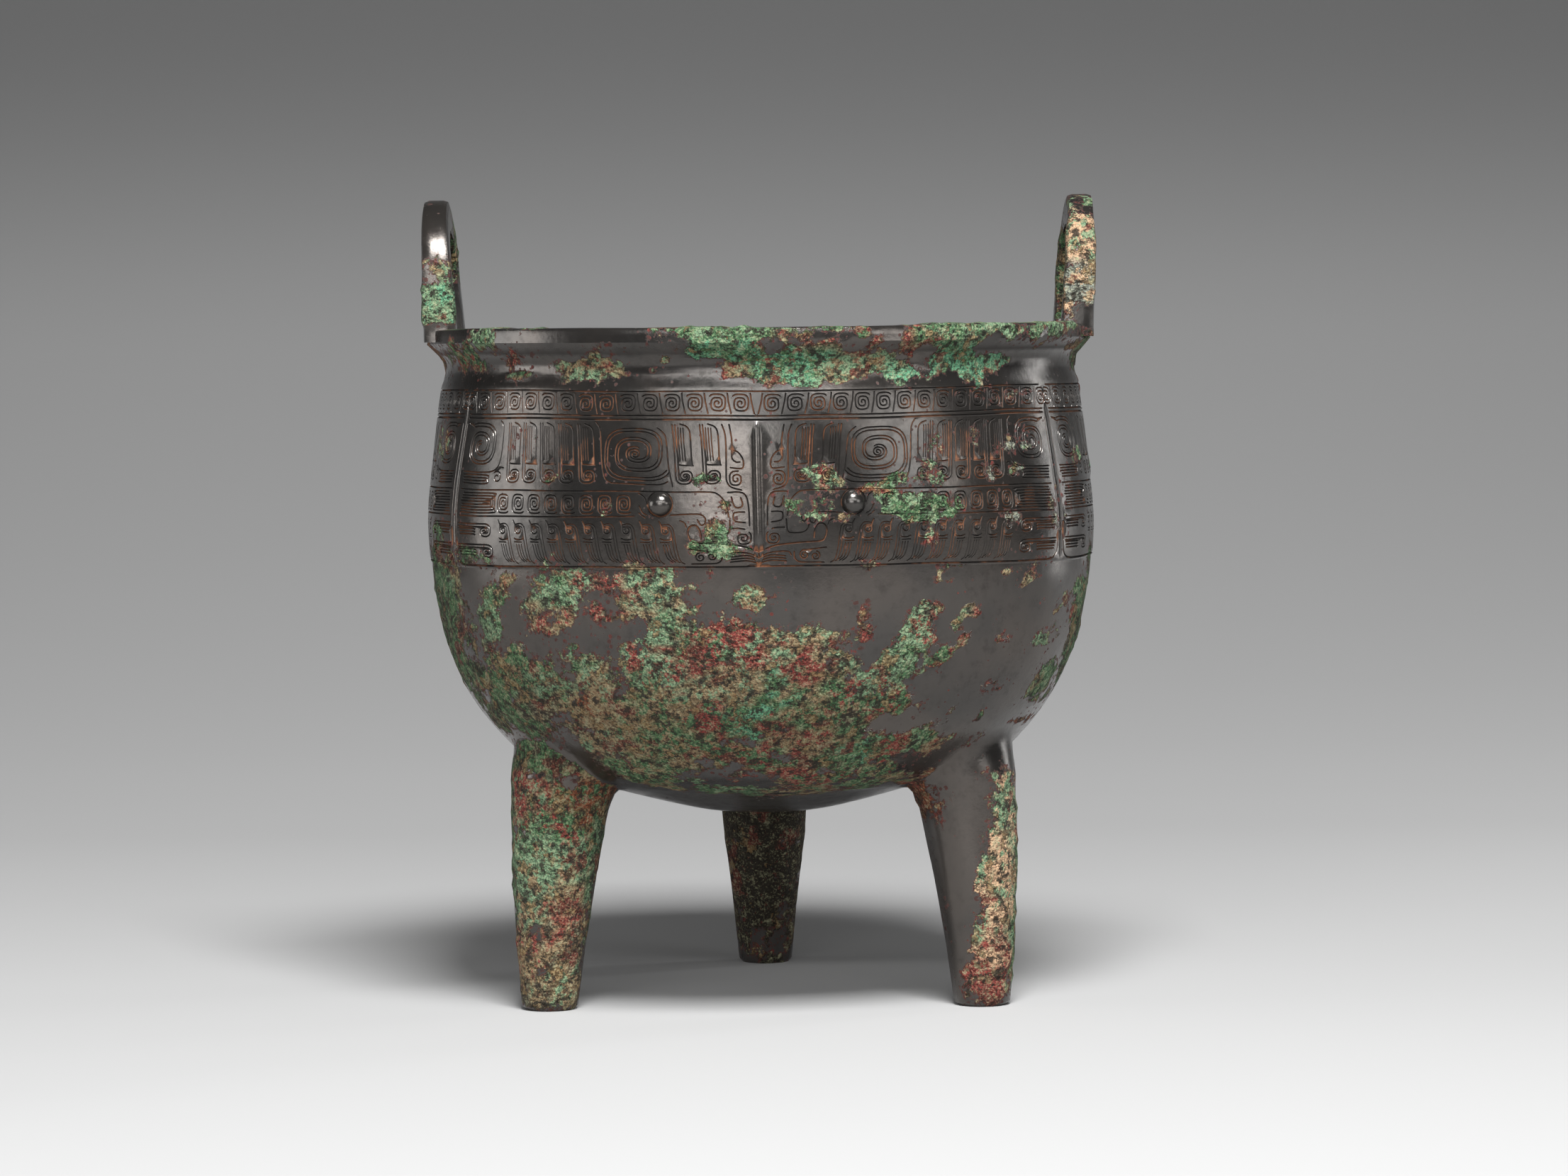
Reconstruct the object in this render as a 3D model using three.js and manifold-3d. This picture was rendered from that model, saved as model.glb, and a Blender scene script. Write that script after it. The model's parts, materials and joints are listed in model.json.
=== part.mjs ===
// Bronze ding: a round cauldron on three legs, with two upright ears on its rim,
// cast in one piece. Millimetres, +Z up, feet on z = 0, middle of the front panel
// towards -Y. Azimuth 0 is the front and grows towards +X.
//
// The belly carries a band of three mask panels. Each panel spans 120 degrees, is
// mirrored about a central ridge, and ends at the mould lines above two legs.

import * as THREE from 'three';
import { mergeVertices } from 'three/addons/utils/BufferGeometryUtils.js';
import Module from 'manifold-3d';

const wasm = await Module();
wasm.setup();

const { Vector2, Vector3, MathUtils } = THREE;

// ---------------------------------------------------------------- driving dimensions

const WALL = 4.2;                 // thickness of the cast wall
const FLOOR = 4.8;                // thickness at the middle of the bottom
const PANELS = 3;
const BODY_SIDES = 48;            // facets round the outside
const INNER_SIDES = 32;

const RIM = { top: 200, edge: 98.5, edgeRound: 0.7, under: 195.6 };
const NECK = { flare: 95.8, flareAt: 192.8, waist: 93.8, waistAt: 189.2 };

// Outside of the belly, from the foot of the neck to the lowest point: radius, height.
const BELLY = [
  [94.1, 186.4], [95.2, 182.9], [97.2, 167], [98.8, 146], [98.3, 131], [96.8, 121.3],
  [92.9, 104.3], [84.4, 87.2], [70, 71.5], [58, 66], [43.7, 62.3], [20, 56], [0, 54.4],
];

// The foot of the belly and its underside, and the floor of the hollow: radius, height.
const FOOT_OF_BELLY = { heights: [116, 104, 94, 85], step: 0.5, stepAt: 130.9 };
const UNDERSIDE = [[76, 76.9], [62, 67.6], [43.7, 62.3], [20, 56], [0, 54.4]];
const HOLLOW = { floor: [[0, 54.4], [24, 57], [45, 62.5], [62, 69]], walls: [91, 103, 120, 145, 170], over: 5 };

const BAND = {
  top: 182.9, rowLine: 174.7, bottom: 131.3, middle: 154, arcRadius: 98, lineHalf: 0.7, neckStep: 0.6,
};
const HALF_PANEL = BAND.arcRadius * Math.PI / PANELS;     // arc length of half a panel

const LEG = { azimuths: [60, 180, 300], sides: 12 };
// Radius of the leg and distance of its centre from the vessel's axis, by height.
const LEG_STATIONS = [
  { z: 0, r: 7.3, out: 73.5 }, { z: 1.2, r: 8.3, out: 73.5 }, { z: 18, r: 10, out: 72.8 },
  { z: 40, r: 12.4, out: 71.3 }, { z: 58, r: 14.2, out: 69.3 }, { z: 68, r: 16.4, out: 67 },
  { z: 77, r: 19.5, out: 62.5 },
];

const EAR = {
  halfWidth: 26, shoulder: 214, top: 238.6, openHalf: 16, openShoulder: 213, openTop: 229.2,
  outerFace: 98.9, baseThick: 9.6, topThick: 7.4, splay: MathUtils.degToRad(1.6),
  foot: 196.4, bevel: 0.9, arcSteps: 6, openFrom: 199, slab: 0.1,
};

const RIDGE = { heights: [135.5, 155, 174], halfWidth: 1.3, height: 1.5, crest: 0.5, root: 1 };
const MOULD_LINE = { heights: [132.4, 150, 173.2], halfWidth: 0.6, height: 0.5, crest: 0.5, root: 1 };
const EYE = { u: 28.3, z: 150.2, radius: 3.5, height: 2.8, sides: 8 };
const GROOVE = { halfWidth: 0.65, depth: 0.8, above: 0.5 };

// The mask, on one side of its ridge: u is arc length from the ridge, z is height.
const MASK = {
  row: { first: 0.5 * HALF_PANEL / 15, pitch: HALF_PANEL / 15, count: 15, from: 176.6, to: 180.8, lean: 1.2 },
  horn: { u: 36.3, z: 164.4, halfU: 10.2, halfZ: 8.4, gap: 3.2, corners: 7 },
  scroll: { u: 92.3, z: 166, halfU: 6.6, halfZ: 6.6, gap: 3.2, corners: 6 },
  upper: { at: [13.6, 21.4, 51.4, 58.2, 65, 71.8, 78.6], from: 157.4, to: 172.6, lean: 0.9, hook: 3 },
  lower: { first: 26.7, pitch: 8.6, count: 7, from: 133.6, to: 143.3, lean: 1.6, hook: 3.2 },
};

// ---------------------------------------------------------------- forms of the outside

const bellyLine = new THREE.SplineCurve(BELLY.map(([r, z]) => new Vector2(r, z))).getPoints(240);

/** Radius of the belly at a height, before the plan swells over the legs. */
function bellyRadius(z) {
  const i = Math.max(1, bellyLine.findIndex((p) => p.y <= z));
  const [a, b] = [bellyLine[i - 1], bellyLine[i]];
  return MathUtils.mapLinear(z, a.y, b.y, a.x, b.x);
}

/** How far the plan departs from a circle: a soft triangle with its corners over the legs. */
function lobe(azimuth, z) {
  const depth = MathUtils.lerp(0.024, 0.004, MathUtils.smoothstep(z, 138, 184));
  const turn = PANELS * (azimuth - Math.PI / PANELS);
  return 1 + depth * (Math.cos(turn) + 0.15 * (Math.cos(2 * turn) + 1));
}

/** A point of the outside, `out` millimetres proud of it. */
function onBody(azimuth, z, out = 0) {
  const r = bellyRadius(z) * lobe(azimuth, z) + out;
  return new Vector3(r * Math.sin(azimuth), -r * Math.cos(azimuth), z);
}

// ---------------------------------------------------------------- geometry to solid and back

/** A closed three.js geometry as a solid, with its faces turned outwards. */
function solid(geometry) {
  geometry.deleteAttribute('normal');
  geometry.deleteAttribute('uv');
  const welded = mergeVertices(geometry, 1e-4);
  const points = welded.attributes.position.array;
  const corner = (i) => new Vector3().fromArray(points, 3 * i);
  const faces = [];
  let volume = 0;
  for (let i = 0; i < welded.index.count; i += 3) {
    const [a, b, c] = [0, 1, 2].map((k) => welded.index.getX(i + k));
    if (a === b || b === c || c === a) continue;
    faces.push([a, b, c]);
    volume += corner(a).dot(corner(b).cross(corner(c)));
  }
  const turned = volume < 0 ? faces.map(([a, b, c]) => [a, c, b]) : faces;
  return new wasm.Manifold(new wasm.Mesh({
    numProp: 3, vertProperties: new Float32Array(points), triVerts: new Uint32Array(turned.flat()),
  }));
}

/** A solid as a three.js geometry. */
function geometryOf(body) {
  const mesh = body.getMesh();
  const geometry = new THREE.BufferGeometry();
  geometry.setAttribute('position', new THREE.BufferAttribute(mesh.vertProperties, 3));
  geometry.setIndex(new THREE.BufferAttribute(mesh.triVerts, 1));
  geometry.computeVertexNormals();
  return geometry;
}

/** Moves each vertex of a geometry to place(x, y, z). */
function reshape(geometry, place) {
  const at = geometry.attributes.position;
  for (let i = 0; i < at.count; i += 1) {
    const p = place(at.getX(i), at.getY(i), at.getZ(i));
    at.setXYZ(i, p.x, p.y, p.z);
  }
  return geometry;
}

/** A profile of [radius, height] turned about +Z, with its plan swelled over the legs. */
function turnedBody(profile, sides) {
  const lathe = new THREE.LatheGeometry(profile.map(([r, z]) => new Vector2(r, z)), sides);
  lathe.rotateX(Math.PI / 2);
  reshape(lathe, (x, y, z) => {
    const k = lobe(Math.atan2(x, -y), z);
    return new Vector3(x * k, y * k, z);
  });
  return solid(lathe);
}

// ---------------------------------------------------------------- body

/** The body without its hollow: rim, neck, belly with the band's border lines, underside. */
function outside() {
  const at = (z, sunk = 0) => [bellyRadius(z) - sunk, z];
  const { top, rowLine, lineHalf, middle, bottom, neckStep } = BAND;
  return turnedBody([
    [0, RIM.top], [RIM.edge - RIM.edgeRound, RIM.top], [RIM.edge, RIM.top - RIM.edgeRound],
    [RIM.edge, RIM.under], [NECK.flare, NECK.flareAt], [NECK.waist, NECK.waistAt],
    at(BELLY[0][1]), [bellyRadius(top) - GROOVE.depth, top + neckStep], at(top),
    at(rowLine + lineHalf), at(rowLine, GROOVE.depth), at(rowLine - lineHalf), at(middle), at(bottom + 0.3),
    at(FOOT_OF_BELLY.stepAt, FOOT_OF_BELLY.step), ...FOOT_OF_BELLY.heights.map((z) => at(z)), ...UNDERSIDE,
  ], BODY_SIDES);
}

/** The hollow, from the floor up through the mouth. */
function hollow() {
  const mouth = NECK.waist - WALL;
  return turnedBody([
    ...HOLLOW.floor.map(([r, z]) => [r, z + FLOOR]),
    ...HOLLOW.walls.map((z) => [bellyRadius(z) - WALL, z]),
    [mouth, NECK.waistAt], [mouth, RIM.top + HOLLOW.over], [0, RIM.top + HOLLOW.over],
  ], INNER_SIDES);
}

/** A leg: a turned shaft whose rings step out from the vessel's axis. */
function leg(azimuthDegrees) {
  const azimuth = MathUtils.degToRad(azimuthDegrees);
  const ends = [{ ...LEG_STATIONS[0], r: 0 }, ...LEG_STATIONS, { ...LEG_STATIONS.at(-1), r: 0 }];
  const line = ends.map(({ r, z }) => new Vector2(r, z));
  const lathe = new THREE.LatheGeometry(line, LEG.sides, Math.PI / LEG.sides);
  lathe.rotateX(Math.PI / 2);
  reshape(lathe, (x, y, z) => {
    const { out } = LEG_STATIONS.find((station) => Math.abs(station.z - z) < 0.01);
    return new Vector3(x, y - out, z);
  });
  lathe.rotateZ(azimuth);
  return solid(lathe);
}

/** An upright ear on the +X side (side = 1) or the -X side (side = -1). */
function ear(side) {
  const b = EAR.bevel;
  const arch = new THREE.Shape();
  arch.moveTo(EAR.halfWidth - b, EAR.foot + b);
  arch.lineTo(EAR.halfWidth - b, EAR.shoulder);
  arch.absellipse(0, EAR.shoulder, EAR.halfWidth - b, EAR.top - EAR.shoulder - b, 0, Math.PI);
  arch.lineTo(b - EAR.halfWidth, EAR.foot + b);
  arch.closePath();
  const opening = new THREE.Path();
  opening.moveTo(-EAR.openHalf - b, EAR.openFrom);
  opening.lineTo(-EAR.openHalf - b, EAR.openShoulder);
  opening.absellipse(0, EAR.openShoulder, EAR.openHalf + b, EAR.openTop + b - EAR.openShoulder,
    Math.PI, 0, true);
  opening.lineTo(EAR.openHalf + b, EAR.openFrom);
  opening.closePath();
  arch.holes.push(opening);
  const slab = new THREE.ExtrudeGeometry(arch, {
    depth: 1 - 2 * EAR.slab, bevelThickness: EAR.slab, bevelSize: b, bevelSegments: 1,
    curveSegments: EAR.arcSteps,
  });
  reshape(slab, (y, z, t) => {
    const rise = (z - RIM.top) / (EAR.top - RIM.top);
    const thick = MathUtils.lerp(EAR.baseThick, EAR.topThick, MathUtils.clamp(rise, 0, 1));
    const face = EAR.outerFace + Math.tan(EAR.splay) * Math.max(0, z - RIM.top);
    return new Vector3(side * (face - thick * (1 - EAR.slab - t)), y, z);
  });
  return solid(slab);
}

// ---------------------------------------------------------------- carving

/**
 * A ribbon of a given cross-section laid along a stroke of the body.
 * @param {number} centre azimuth of the panel's middle
 * @param {number[][]} stroke points [u, z]: arc length from the panel's middle, and height
 * @param {number[][]} section points [across, out]
 */
function ribbon(centre, stroke, section) {
  const shape = new THREE.Shape(section.map(([across, out]) => new Vector2(across, out)));
  const count = stroke.length - 1;
  const prism = new THREE.ExtrudeGeometry(shape, { depth: count, steps: count, bevelEnabled: false });
  const points = stroke.map(([u, z]) => new Vector2(u, z));
  return solid(reshape(prism, (across, out, step) => {
    const i = Math.round(step);
    const here = points[i];
    const before = here.clone().sub(points[Math.max(0, i - 1)]).normalize();
    const after = points[Math.min(count, i + 1)].clone().sub(here).normalize();
    const along = before.clone().add(after).normalize();
    const reach = i === 0 || i === count ? 1 : 1 / Math.max(0.5, along.dot(after));
    const u = here.x - along.y * across * reach;
    const z = here.y + along.x * across * reach;
    return onBody(centre + u / BAND.arcRadius, z, out);
  }));
}

const flank = GROOVE.halfWidth * (1 + GROOVE.above / GROOVE.depth);
const grooveSection = [[-flank, GROOVE.above], [0, -GROOVE.depth], [flank, GROOVE.above]];
const ridgeSection = ({ halfWidth, height, crest, root }) => [
  [-halfWidth, -root], [halfWidth, -root], [halfWidth * crest, height], [-halfWidth * crest, height],
];

/** Squared spiral winding inwards from its lower outer corner, one corner after another. */
function squareSpiral({ u, z, halfU, halfZ, gap, corners }) {
  const stroke = [];
  for (let k = 0; k < corners; k += 1) {
    const inU = halfU - gap * Math.floor((k + 1) / 4);
    const inZ = halfZ - gap * Math.floor(k / 4);
    const [su, sz] = [[1, -1], [1, 1], [-1, 1], [-1, -1]][k % 4];
    stroke.push([u + su * inU, z + sz * inZ]);
  }
  return stroke;
}

/** Strokes of one half of a mask, for u > 0. */
function halfMask() {
  const { row, horn, scroll, upper, lower } = MASK;
  const repeat = ({ first, pitch, count }, stroke) => (
    Array.from({ length: count }, (_, i) => stroke(first + i * pitch)));
  return [
    squareSpiral(horn), squareSpiral(scroll),
    ...repeat(row, (u) => [[u, row.from], [u + row.lean, row.to]]),
    ...upper.at.map((u) => [[u + upper.lean, upper.to], [u, upper.from], [u - upper.hook, upper.from]]),
    ...repeat(lower, (u) => [[u - lower.hook, lower.to], [u + lower.lean, lower.to], [u, lower.from]])
  ];
}

/** What stands proud of the band, and what is cut into it, on all three panels. */
function carving() {
  const proud = [];
  const sunk = [];
  for (let p = 0; p < PANELS; p += 1) {
    const centre = p * 2 * Math.PI / PANELS;
    proud.push(ribbon(centre, RIDGE.heights.map((z) => [0, z]), ridgeSection(RIDGE)));
    proud.push(ribbon(centre, MOULD_LINE.heights.map((z) => [HALF_PANEL, z]), ridgeSection(MOULD_LINE)));
    for (const side of [-1, 1]) {
      const eye = new THREE.SphereGeometry(1, EYE.sides, EYE.sides / 2);
      eye.rotateX(Math.PI / 2);
      eye.applyMatrix4(new THREE.Matrix4().makeScale(EYE.radius, EYE.radius, EYE.height));
      const azimuth = centre + side * EYE.u / BAND.arcRadius;
      const seat = onBody(azimuth, EYE.z);
      eye.rotateX(Math.PI / 2).rotateZ(azimuth).translate(seat.x, seat.y, seat.z);
      proud.push(solid(eye));
      for (const stroke of halfMask()) {
        sunk.push(ribbon(centre, stroke.map(([u, z]) => [side * u, z]), grooveSection));
      }
    }
  }
  return { proud, sunk };
}

// ---------------------------------------------------------------- the casting

const union = (solids) => wasm.Manifold.union(solids);
const { proud, sunk } = carving();
const casting = union([outside(), ...LEG.azimuths.map(leg)])
  .subtract(hollow())
  .add(union([ear(1), ear(-1)]))
  .subtract(union(sunk))
  .add(union(proud))
  .simplify(0.02);

const bronze = new THREE.MeshStandardMaterial({ color: 0x4a4137, roughness: 0.42, metalness: 0.8 });
const vessel = new THREE.Mesh(geometryOf(casting), bronze);
vessel.name = 'ding_vessel';

// The origin is under the middle of the whole, so the swell over the back leg is centred out.
vessel.geometry.computeBoundingBox();
vessel.position.y = -vessel.geometry.boundingBox.getCenter(new Vector3()).y;

const ding = new THREE.Group();
ding.name = 'bronze_ding';
ding.add(vessel);

export default ding;
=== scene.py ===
"""Bronze ding: the finished vessel with its carved band, patina and corrosion, and its studio."""

from __future__ import annotations

import json
import logging
import math
from dataclasses import dataclass, field
from enum import Enum
from typing import Callable, Sequence

import bmesh
import bpy
import numpy as np
from mathutils import Matrix, Vector, noise
from mathutils.geometry import delaunay_2d_cdt


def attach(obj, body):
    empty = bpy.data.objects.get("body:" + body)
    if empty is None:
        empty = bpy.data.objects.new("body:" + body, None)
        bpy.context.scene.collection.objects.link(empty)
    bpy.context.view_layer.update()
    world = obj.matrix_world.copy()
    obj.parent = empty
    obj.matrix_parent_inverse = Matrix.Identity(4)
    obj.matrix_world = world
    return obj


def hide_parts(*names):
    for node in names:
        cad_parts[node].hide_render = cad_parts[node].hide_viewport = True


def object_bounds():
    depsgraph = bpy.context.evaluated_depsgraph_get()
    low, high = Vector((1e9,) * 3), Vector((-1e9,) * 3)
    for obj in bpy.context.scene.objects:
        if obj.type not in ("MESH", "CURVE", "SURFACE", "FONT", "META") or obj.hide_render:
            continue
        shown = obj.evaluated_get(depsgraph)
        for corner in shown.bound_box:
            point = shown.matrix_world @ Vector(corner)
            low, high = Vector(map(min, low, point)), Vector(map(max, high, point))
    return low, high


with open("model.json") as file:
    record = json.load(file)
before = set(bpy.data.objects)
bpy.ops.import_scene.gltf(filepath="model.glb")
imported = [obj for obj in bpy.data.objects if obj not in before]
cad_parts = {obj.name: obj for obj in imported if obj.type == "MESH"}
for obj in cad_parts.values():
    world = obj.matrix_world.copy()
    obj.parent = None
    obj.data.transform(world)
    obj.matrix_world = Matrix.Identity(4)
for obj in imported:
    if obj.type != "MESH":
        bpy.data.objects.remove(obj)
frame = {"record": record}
CAD_BOX = [list(corner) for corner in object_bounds()]

LOG = logging.getLogger("ding")
MM = 0.001                      # the pattern is drawn in millimetres, the meshes are in metres
NODE = "ding_vessel"
PANELS = 3
SEED = 7                        # of the vector noise, so that each run casts the same vessel
PROBE = 0.05                    # step in millimetres for finding which way a distance grows
Point = tuple[float, float]
Colour = tuple[float, float, float, float]
Distance = Callable[[np.ndarray], np.ndarray]


# ------------------------------------------------------------------ small helpers


def smoothstep(low: float, high: float, x: float) -> float:
    """Eases from 0 at low to 1 at high."""
    t = min(1.0, max(0.0, (x - low) / (high - low)))
    return t * t * (3 - 2 * t)


def mix(a: float, b: float, t: float) -> float:
    """The value a share t of the way from a to b."""
    return a + (b - a) * t


def spline(points: Sequence[Point], steps: int = 12) -> list[Point]:
    """A smooth line through a few points.

    Args:
        points: The points that the line passes through.
        steps: Pieces that each span is divided into.

    Returns:
        The points of the smooth line, both ends included.
    """
    last = len(points) - 1
    line: list[Point] = []
    for i in range(last):
        p0, p1 = points[max(0, i - 1)], points[i]
        p2, p3 = points[i + 1], points[min(last, i + 2)]
        for k in range(steps):
            t = k / steps
            row = []
            for a, b, c, d in zip(p0, p1, p2, p3):
                v0, v1 = (c - a) / 2, (d - b) / 2
                cubic, square = 2 * b - 2 * c + v0 + v1, 3 * c - 3 * b - 2 * v0 - v1
                row.append(cubic * t**3 + square * t**2 + v0 * t + b)
            line.append((row[0], row[1]))
    line.append(points[last])
    return line


def thinned(line: Sequence[Point], tolerance: float, longest: float) -> list[Point]:
    """A line with only the points that its bends need.

    Args:
        line: A finely divided line.
        tolerance: How far the result may run beside the line.
        longest: The longest step of the result.

    Returns:
        The kept points, with long steps divided evenly.
    """
    p = np.array(line)
    keep = {0, len(p) - 1}
    spans = [(0, len(p) - 1)]
    while spans:
        a, b = spans.pop()
        if b - a < 2:
            continue
        chord = p[b] - p[a]
        length = float(np.hypot(*chord)) or 1e-9
        inner = p[a + 1:b] - p[a]
        if length < 1e-6:
            off = np.hypot(inner[:, 0], inner[:, 1])
        else:
            off = np.abs(inner[:, 0] * chord[1] - inner[:, 1] * chord[0]) / length
        worst = int(np.argmax(off))
        if off[worst] > tolerance:
            middle = a + 1 + worst
            keep.add(middle)
            spans += [(a, middle), (middle, b)]
    kept = [p[i] for i in sorted(keep)]
    result = [kept[0]]
    for here, there in zip(kept, kept[1:]):
        parts = max(1, math.ceil(float(np.hypot(*(there - here))) / longest))
        result += [here + (there - here) * (k + 1) / parts for k in range(parts)]
    return [(float(x), float(y)) for x, y in result]


def circle(centre: Point, radius: float, count: int) -> list[Point]:
    """Points round a circle, the first one repeated at the end."""
    angles = [2 * math.pi * i / count for i in range(count + 1)]
    return [(centre[0] + radius * math.cos(a), centre[1] + radius * math.sin(a)) for a in angles]


def azimuths(co: np.ndarray) -> np.ndarray:
    """Angles of points about the bowl's axis, in radians, 0 at the front."""
    return np.arctan2(co[:, 0], -co[:, 1])


def slopes(distance: Distance, co: np.ndarray, here: np.ndarray) -> np.ndarray:
    """How fast a distance grows along x, y and z.

    Args:
        distance: The signed distance of points from a surface.
        co: Points in millimetres.
        here: The distance at those points.

    Returns:
        The three slopes of each point.
    """
    return np.column_stack([(distance(co + probe) - here) / PROBE for probe in np.eye(3) * PROBE])


def coordinates(bm: bmesh.types.BMesh) -> np.ndarray:
    """The places of a mesh's vertices, one to a row."""
    return np.array([tuple(v.co) for v in bm.verts])


def put(bm: bmesh.types.BMesh, co: np.ndarray) -> None:
    """Moves a mesh's vertices to new places."""
    for v, p in zip(bm.verts, co):
        v.co = p


def spun(outline: Sequence[Point], steps: int) -> bmesh.types.BMesh:
    """A turned form about the Z axis.

    Args:
        outline: Its outline as (radius, height).
        steps: How many columns it gets.

    Returns:
        The closed mesh.
    """
    bm = bmesh.new()
    verts = [bm.verts.new((0, -r, z)) for r, z in outline]
    edges = [bm.edges.new(pair) for pair in zip(verts, verts[1:])]
    bmesh.ops.spin(bm, geom=verts + edges, cent=(0, 0, 0), axis=(0, 0, 1), dvec=(0, 0, 0),
                   angle=2 * math.pi, steps=steps, use_merge=True)
    bmesh.ops.remove_doubles(bm, verts=bm.verts, dist=1e-3)
    return bm


def as_object(name: str, bm: bmesh.types.BMesh) -> bpy.types.Object:
    """A new object with the mesh of bm, which is freed.

    Args:
        name: Its name.
        bm: The mesh.

    Returns:
        The object, linked to the scene.
    """
    mesh = bpy.data.meshes.new(name)
    bm.to_mesh(mesh)
    bm.free()
    made = bpy.data.objects.new(name, mesh)
    bpy.context.scene.collection.objects.link(made)
    return made


# ------------------------------------------------------------------ the form of the vessel


@dataclass(frozen=True)
class VesselForm:
    """Radii of the outside by height in millimetres, and how the plan departs from a circle."""

    belly: tuple[Point, ...] = (
        (94.1, 186.4), (95.2, 182.9), (97.2, 167), (98.8, 146), (98.3, 131), (96.8, 121.3),
        (92.9, 104.3), (84.4, 87.2), (70, 71.5), (58, 66), (43.7, 62.3), (20, 56), (0, 54.4),
    )
    band_top: float = 183.0
    band_bottom: float = 131.0
    band_step: float = 0.4
    wall: float = 4.2
    arc_radius: float = 98.0
    lobe_neck: float = 0.004
    lobe_belly: float = 0.024
    lobe_corner: float = 0.15
    lobe_heights: Point = (138, 184)
    drift_front: float = 0.5
    drift_seam: float = 0.8
    sag: float = 0.7
    sag_heights: tuple[float, float, float, float] = (104, 131, 174, 206)
    waver: float = 0.3
    waver_scale: float = 0.045
    foot_out: float = 73.5

    def line(self) -> list[Point]:
        """The belly's outside as a fine line of (radius, height), from the neck down."""
        return spline(self.belly, 20)

    def radii(self, z: np.ndarray) -> np.ndarray:
        """Radii of the round body at heights."""
        line = sorted((z, r) for r, z in self.line())
        return np.interp(z, [p[0] for p in line], [p[1] for p in line])

    def half_panel(self) -> float:
        """Arc length of half a panel."""
        return self.arc_radius * math.pi / PANELS

    def lobe(self, azimuth: np.ndarray, z: np.ndarray) -> np.ndarray:
        """Swell of the plan: a soft triangle with its corners over the legs.

        Args:
            azimuth: Angles about the axis, in radians.
            z: Heights.

        Returns:
            The factors on the round body's radii.
        """
        low, high = self.lobe_heights
        t = np.clip((z - low) / (high - low), 0, 1)
        depth = self.lobe_belly + (self.lobe_neck - self.lobe_belly) * t * t * (3 - 2 * t)
        turn = PANELS * (azimuth - math.pi / PANELS)
        return 1 + depth * (np.cos(turn) + self.lobe_corner * (np.cos(2 * turn) + 1))

    def axis_y(self) -> float:
        """Where the bowl's axis stands in Y, in metres, found from the back foot."""
        mounts = {m["name"]: m["pos_m"] for m in frame["record"]["mounts"]}
        return mounts["foot_back"][1] - self.foot_out * MM

    def swell(self, co: np.ndarray) -> np.ndarray:
        """Moves the points of a round body to their places on the lobed, slightly turned one.

        Args:
            co: Points in millimetres, one to a row.

        Returns:
            The moved points.
        """
        azimuth = azimuths(co)
        radius = np.hypot(co[:, 0], co[:, 1])
        seam = (1 - np.cos(PANELS * azimuth)) / 2
        azimuth = azimuth - np.radians(self.drift_front + self.drift_seam * seam)
        radius = radius * self.lobe(azimuth, co[:, 2])
        return np.column_stack((radius * np.sin(azimuth), -radius * np.cos(azimuth), co[:, 2]))

    def depth(self, co: np.ndarray) -> np.ndarray:
        """Distance of points from the outside of the bowl: below zero is in the metal.

        Args:
            co: Points in millimetres, one to a row.

        Returns:
            The signed distances in millimetres.
        """
        radius = np.hypot(co[:, 0], co[:, 1]) / self.lobe(azimuths(co), co[:, 2])
        p = np.column_stack((radius, co[:, 2]))
        line = np.array(self.line())
        a, ab = line[:-1], np.diff(line, axis=0)
        result = np.empty(len(p))
        batch = 4000
        for start in range(0, len(p), batch):
            ap = p[start:start + batch, None, :] - a[None]
            t = np.clip((ap * ab).sum(2) / (ab * ab).sum(1), 0, 1)
            gap = ap - t[..., None] * ab
            far = np.hypot(gap[..., 0], gap[..., 1])
            best = far.argmin(1)
            rows = np.arange(len(best))
            side = ab[best, 0] * gap[rows, best, 1] - ab[best, 1] * gap[rows, best, 0]
            result[start:start + batch] = far[rows, best] * np.where(side > 0, 1, -1)
        return result

    def settle(self, co: np.ndarray) -> np.ndarray:
        """The unevenness of a hand-made mould: its lines dip and waver a little.

        Args:
            co: Points in millimetres, one to a row.

        Returns:
            The moved points.
        """
        z = co[:, 2]
        start, low, high, end = self.sag_heights
        middle = (1 + np.cos(PANELS * azimuths(co))) / 2
        share = np.clip((z - low) / (high - low), 0, 1)
        lift = self.sag * (1 - 2 * share) * np.clip((z - start) / (low - start), 0, 1)
        lift *= np.clip((end - z) / 6, 0, 1)
        waver = np.array([tuple(noise.noise_vector(Vector(p) * self.waver_scale)) for p in co]) * self.waver
        free_of_ground = np.clip((z - 2) / 30, 0, 1)[:, None]
        moved = co + waver * free_of_ground
        moved[:, 2] += middle * lift * 0.8
        return moved


# ------------------------------------------------------------------ the carved pattern


@dataclass
class Stroke:
    """One engraved line of the pattern: u is arc length from the panel's ridge, z is height."""

    line: list[Point]
    width: float = 0.5
    depth: float = 0.5


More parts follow.
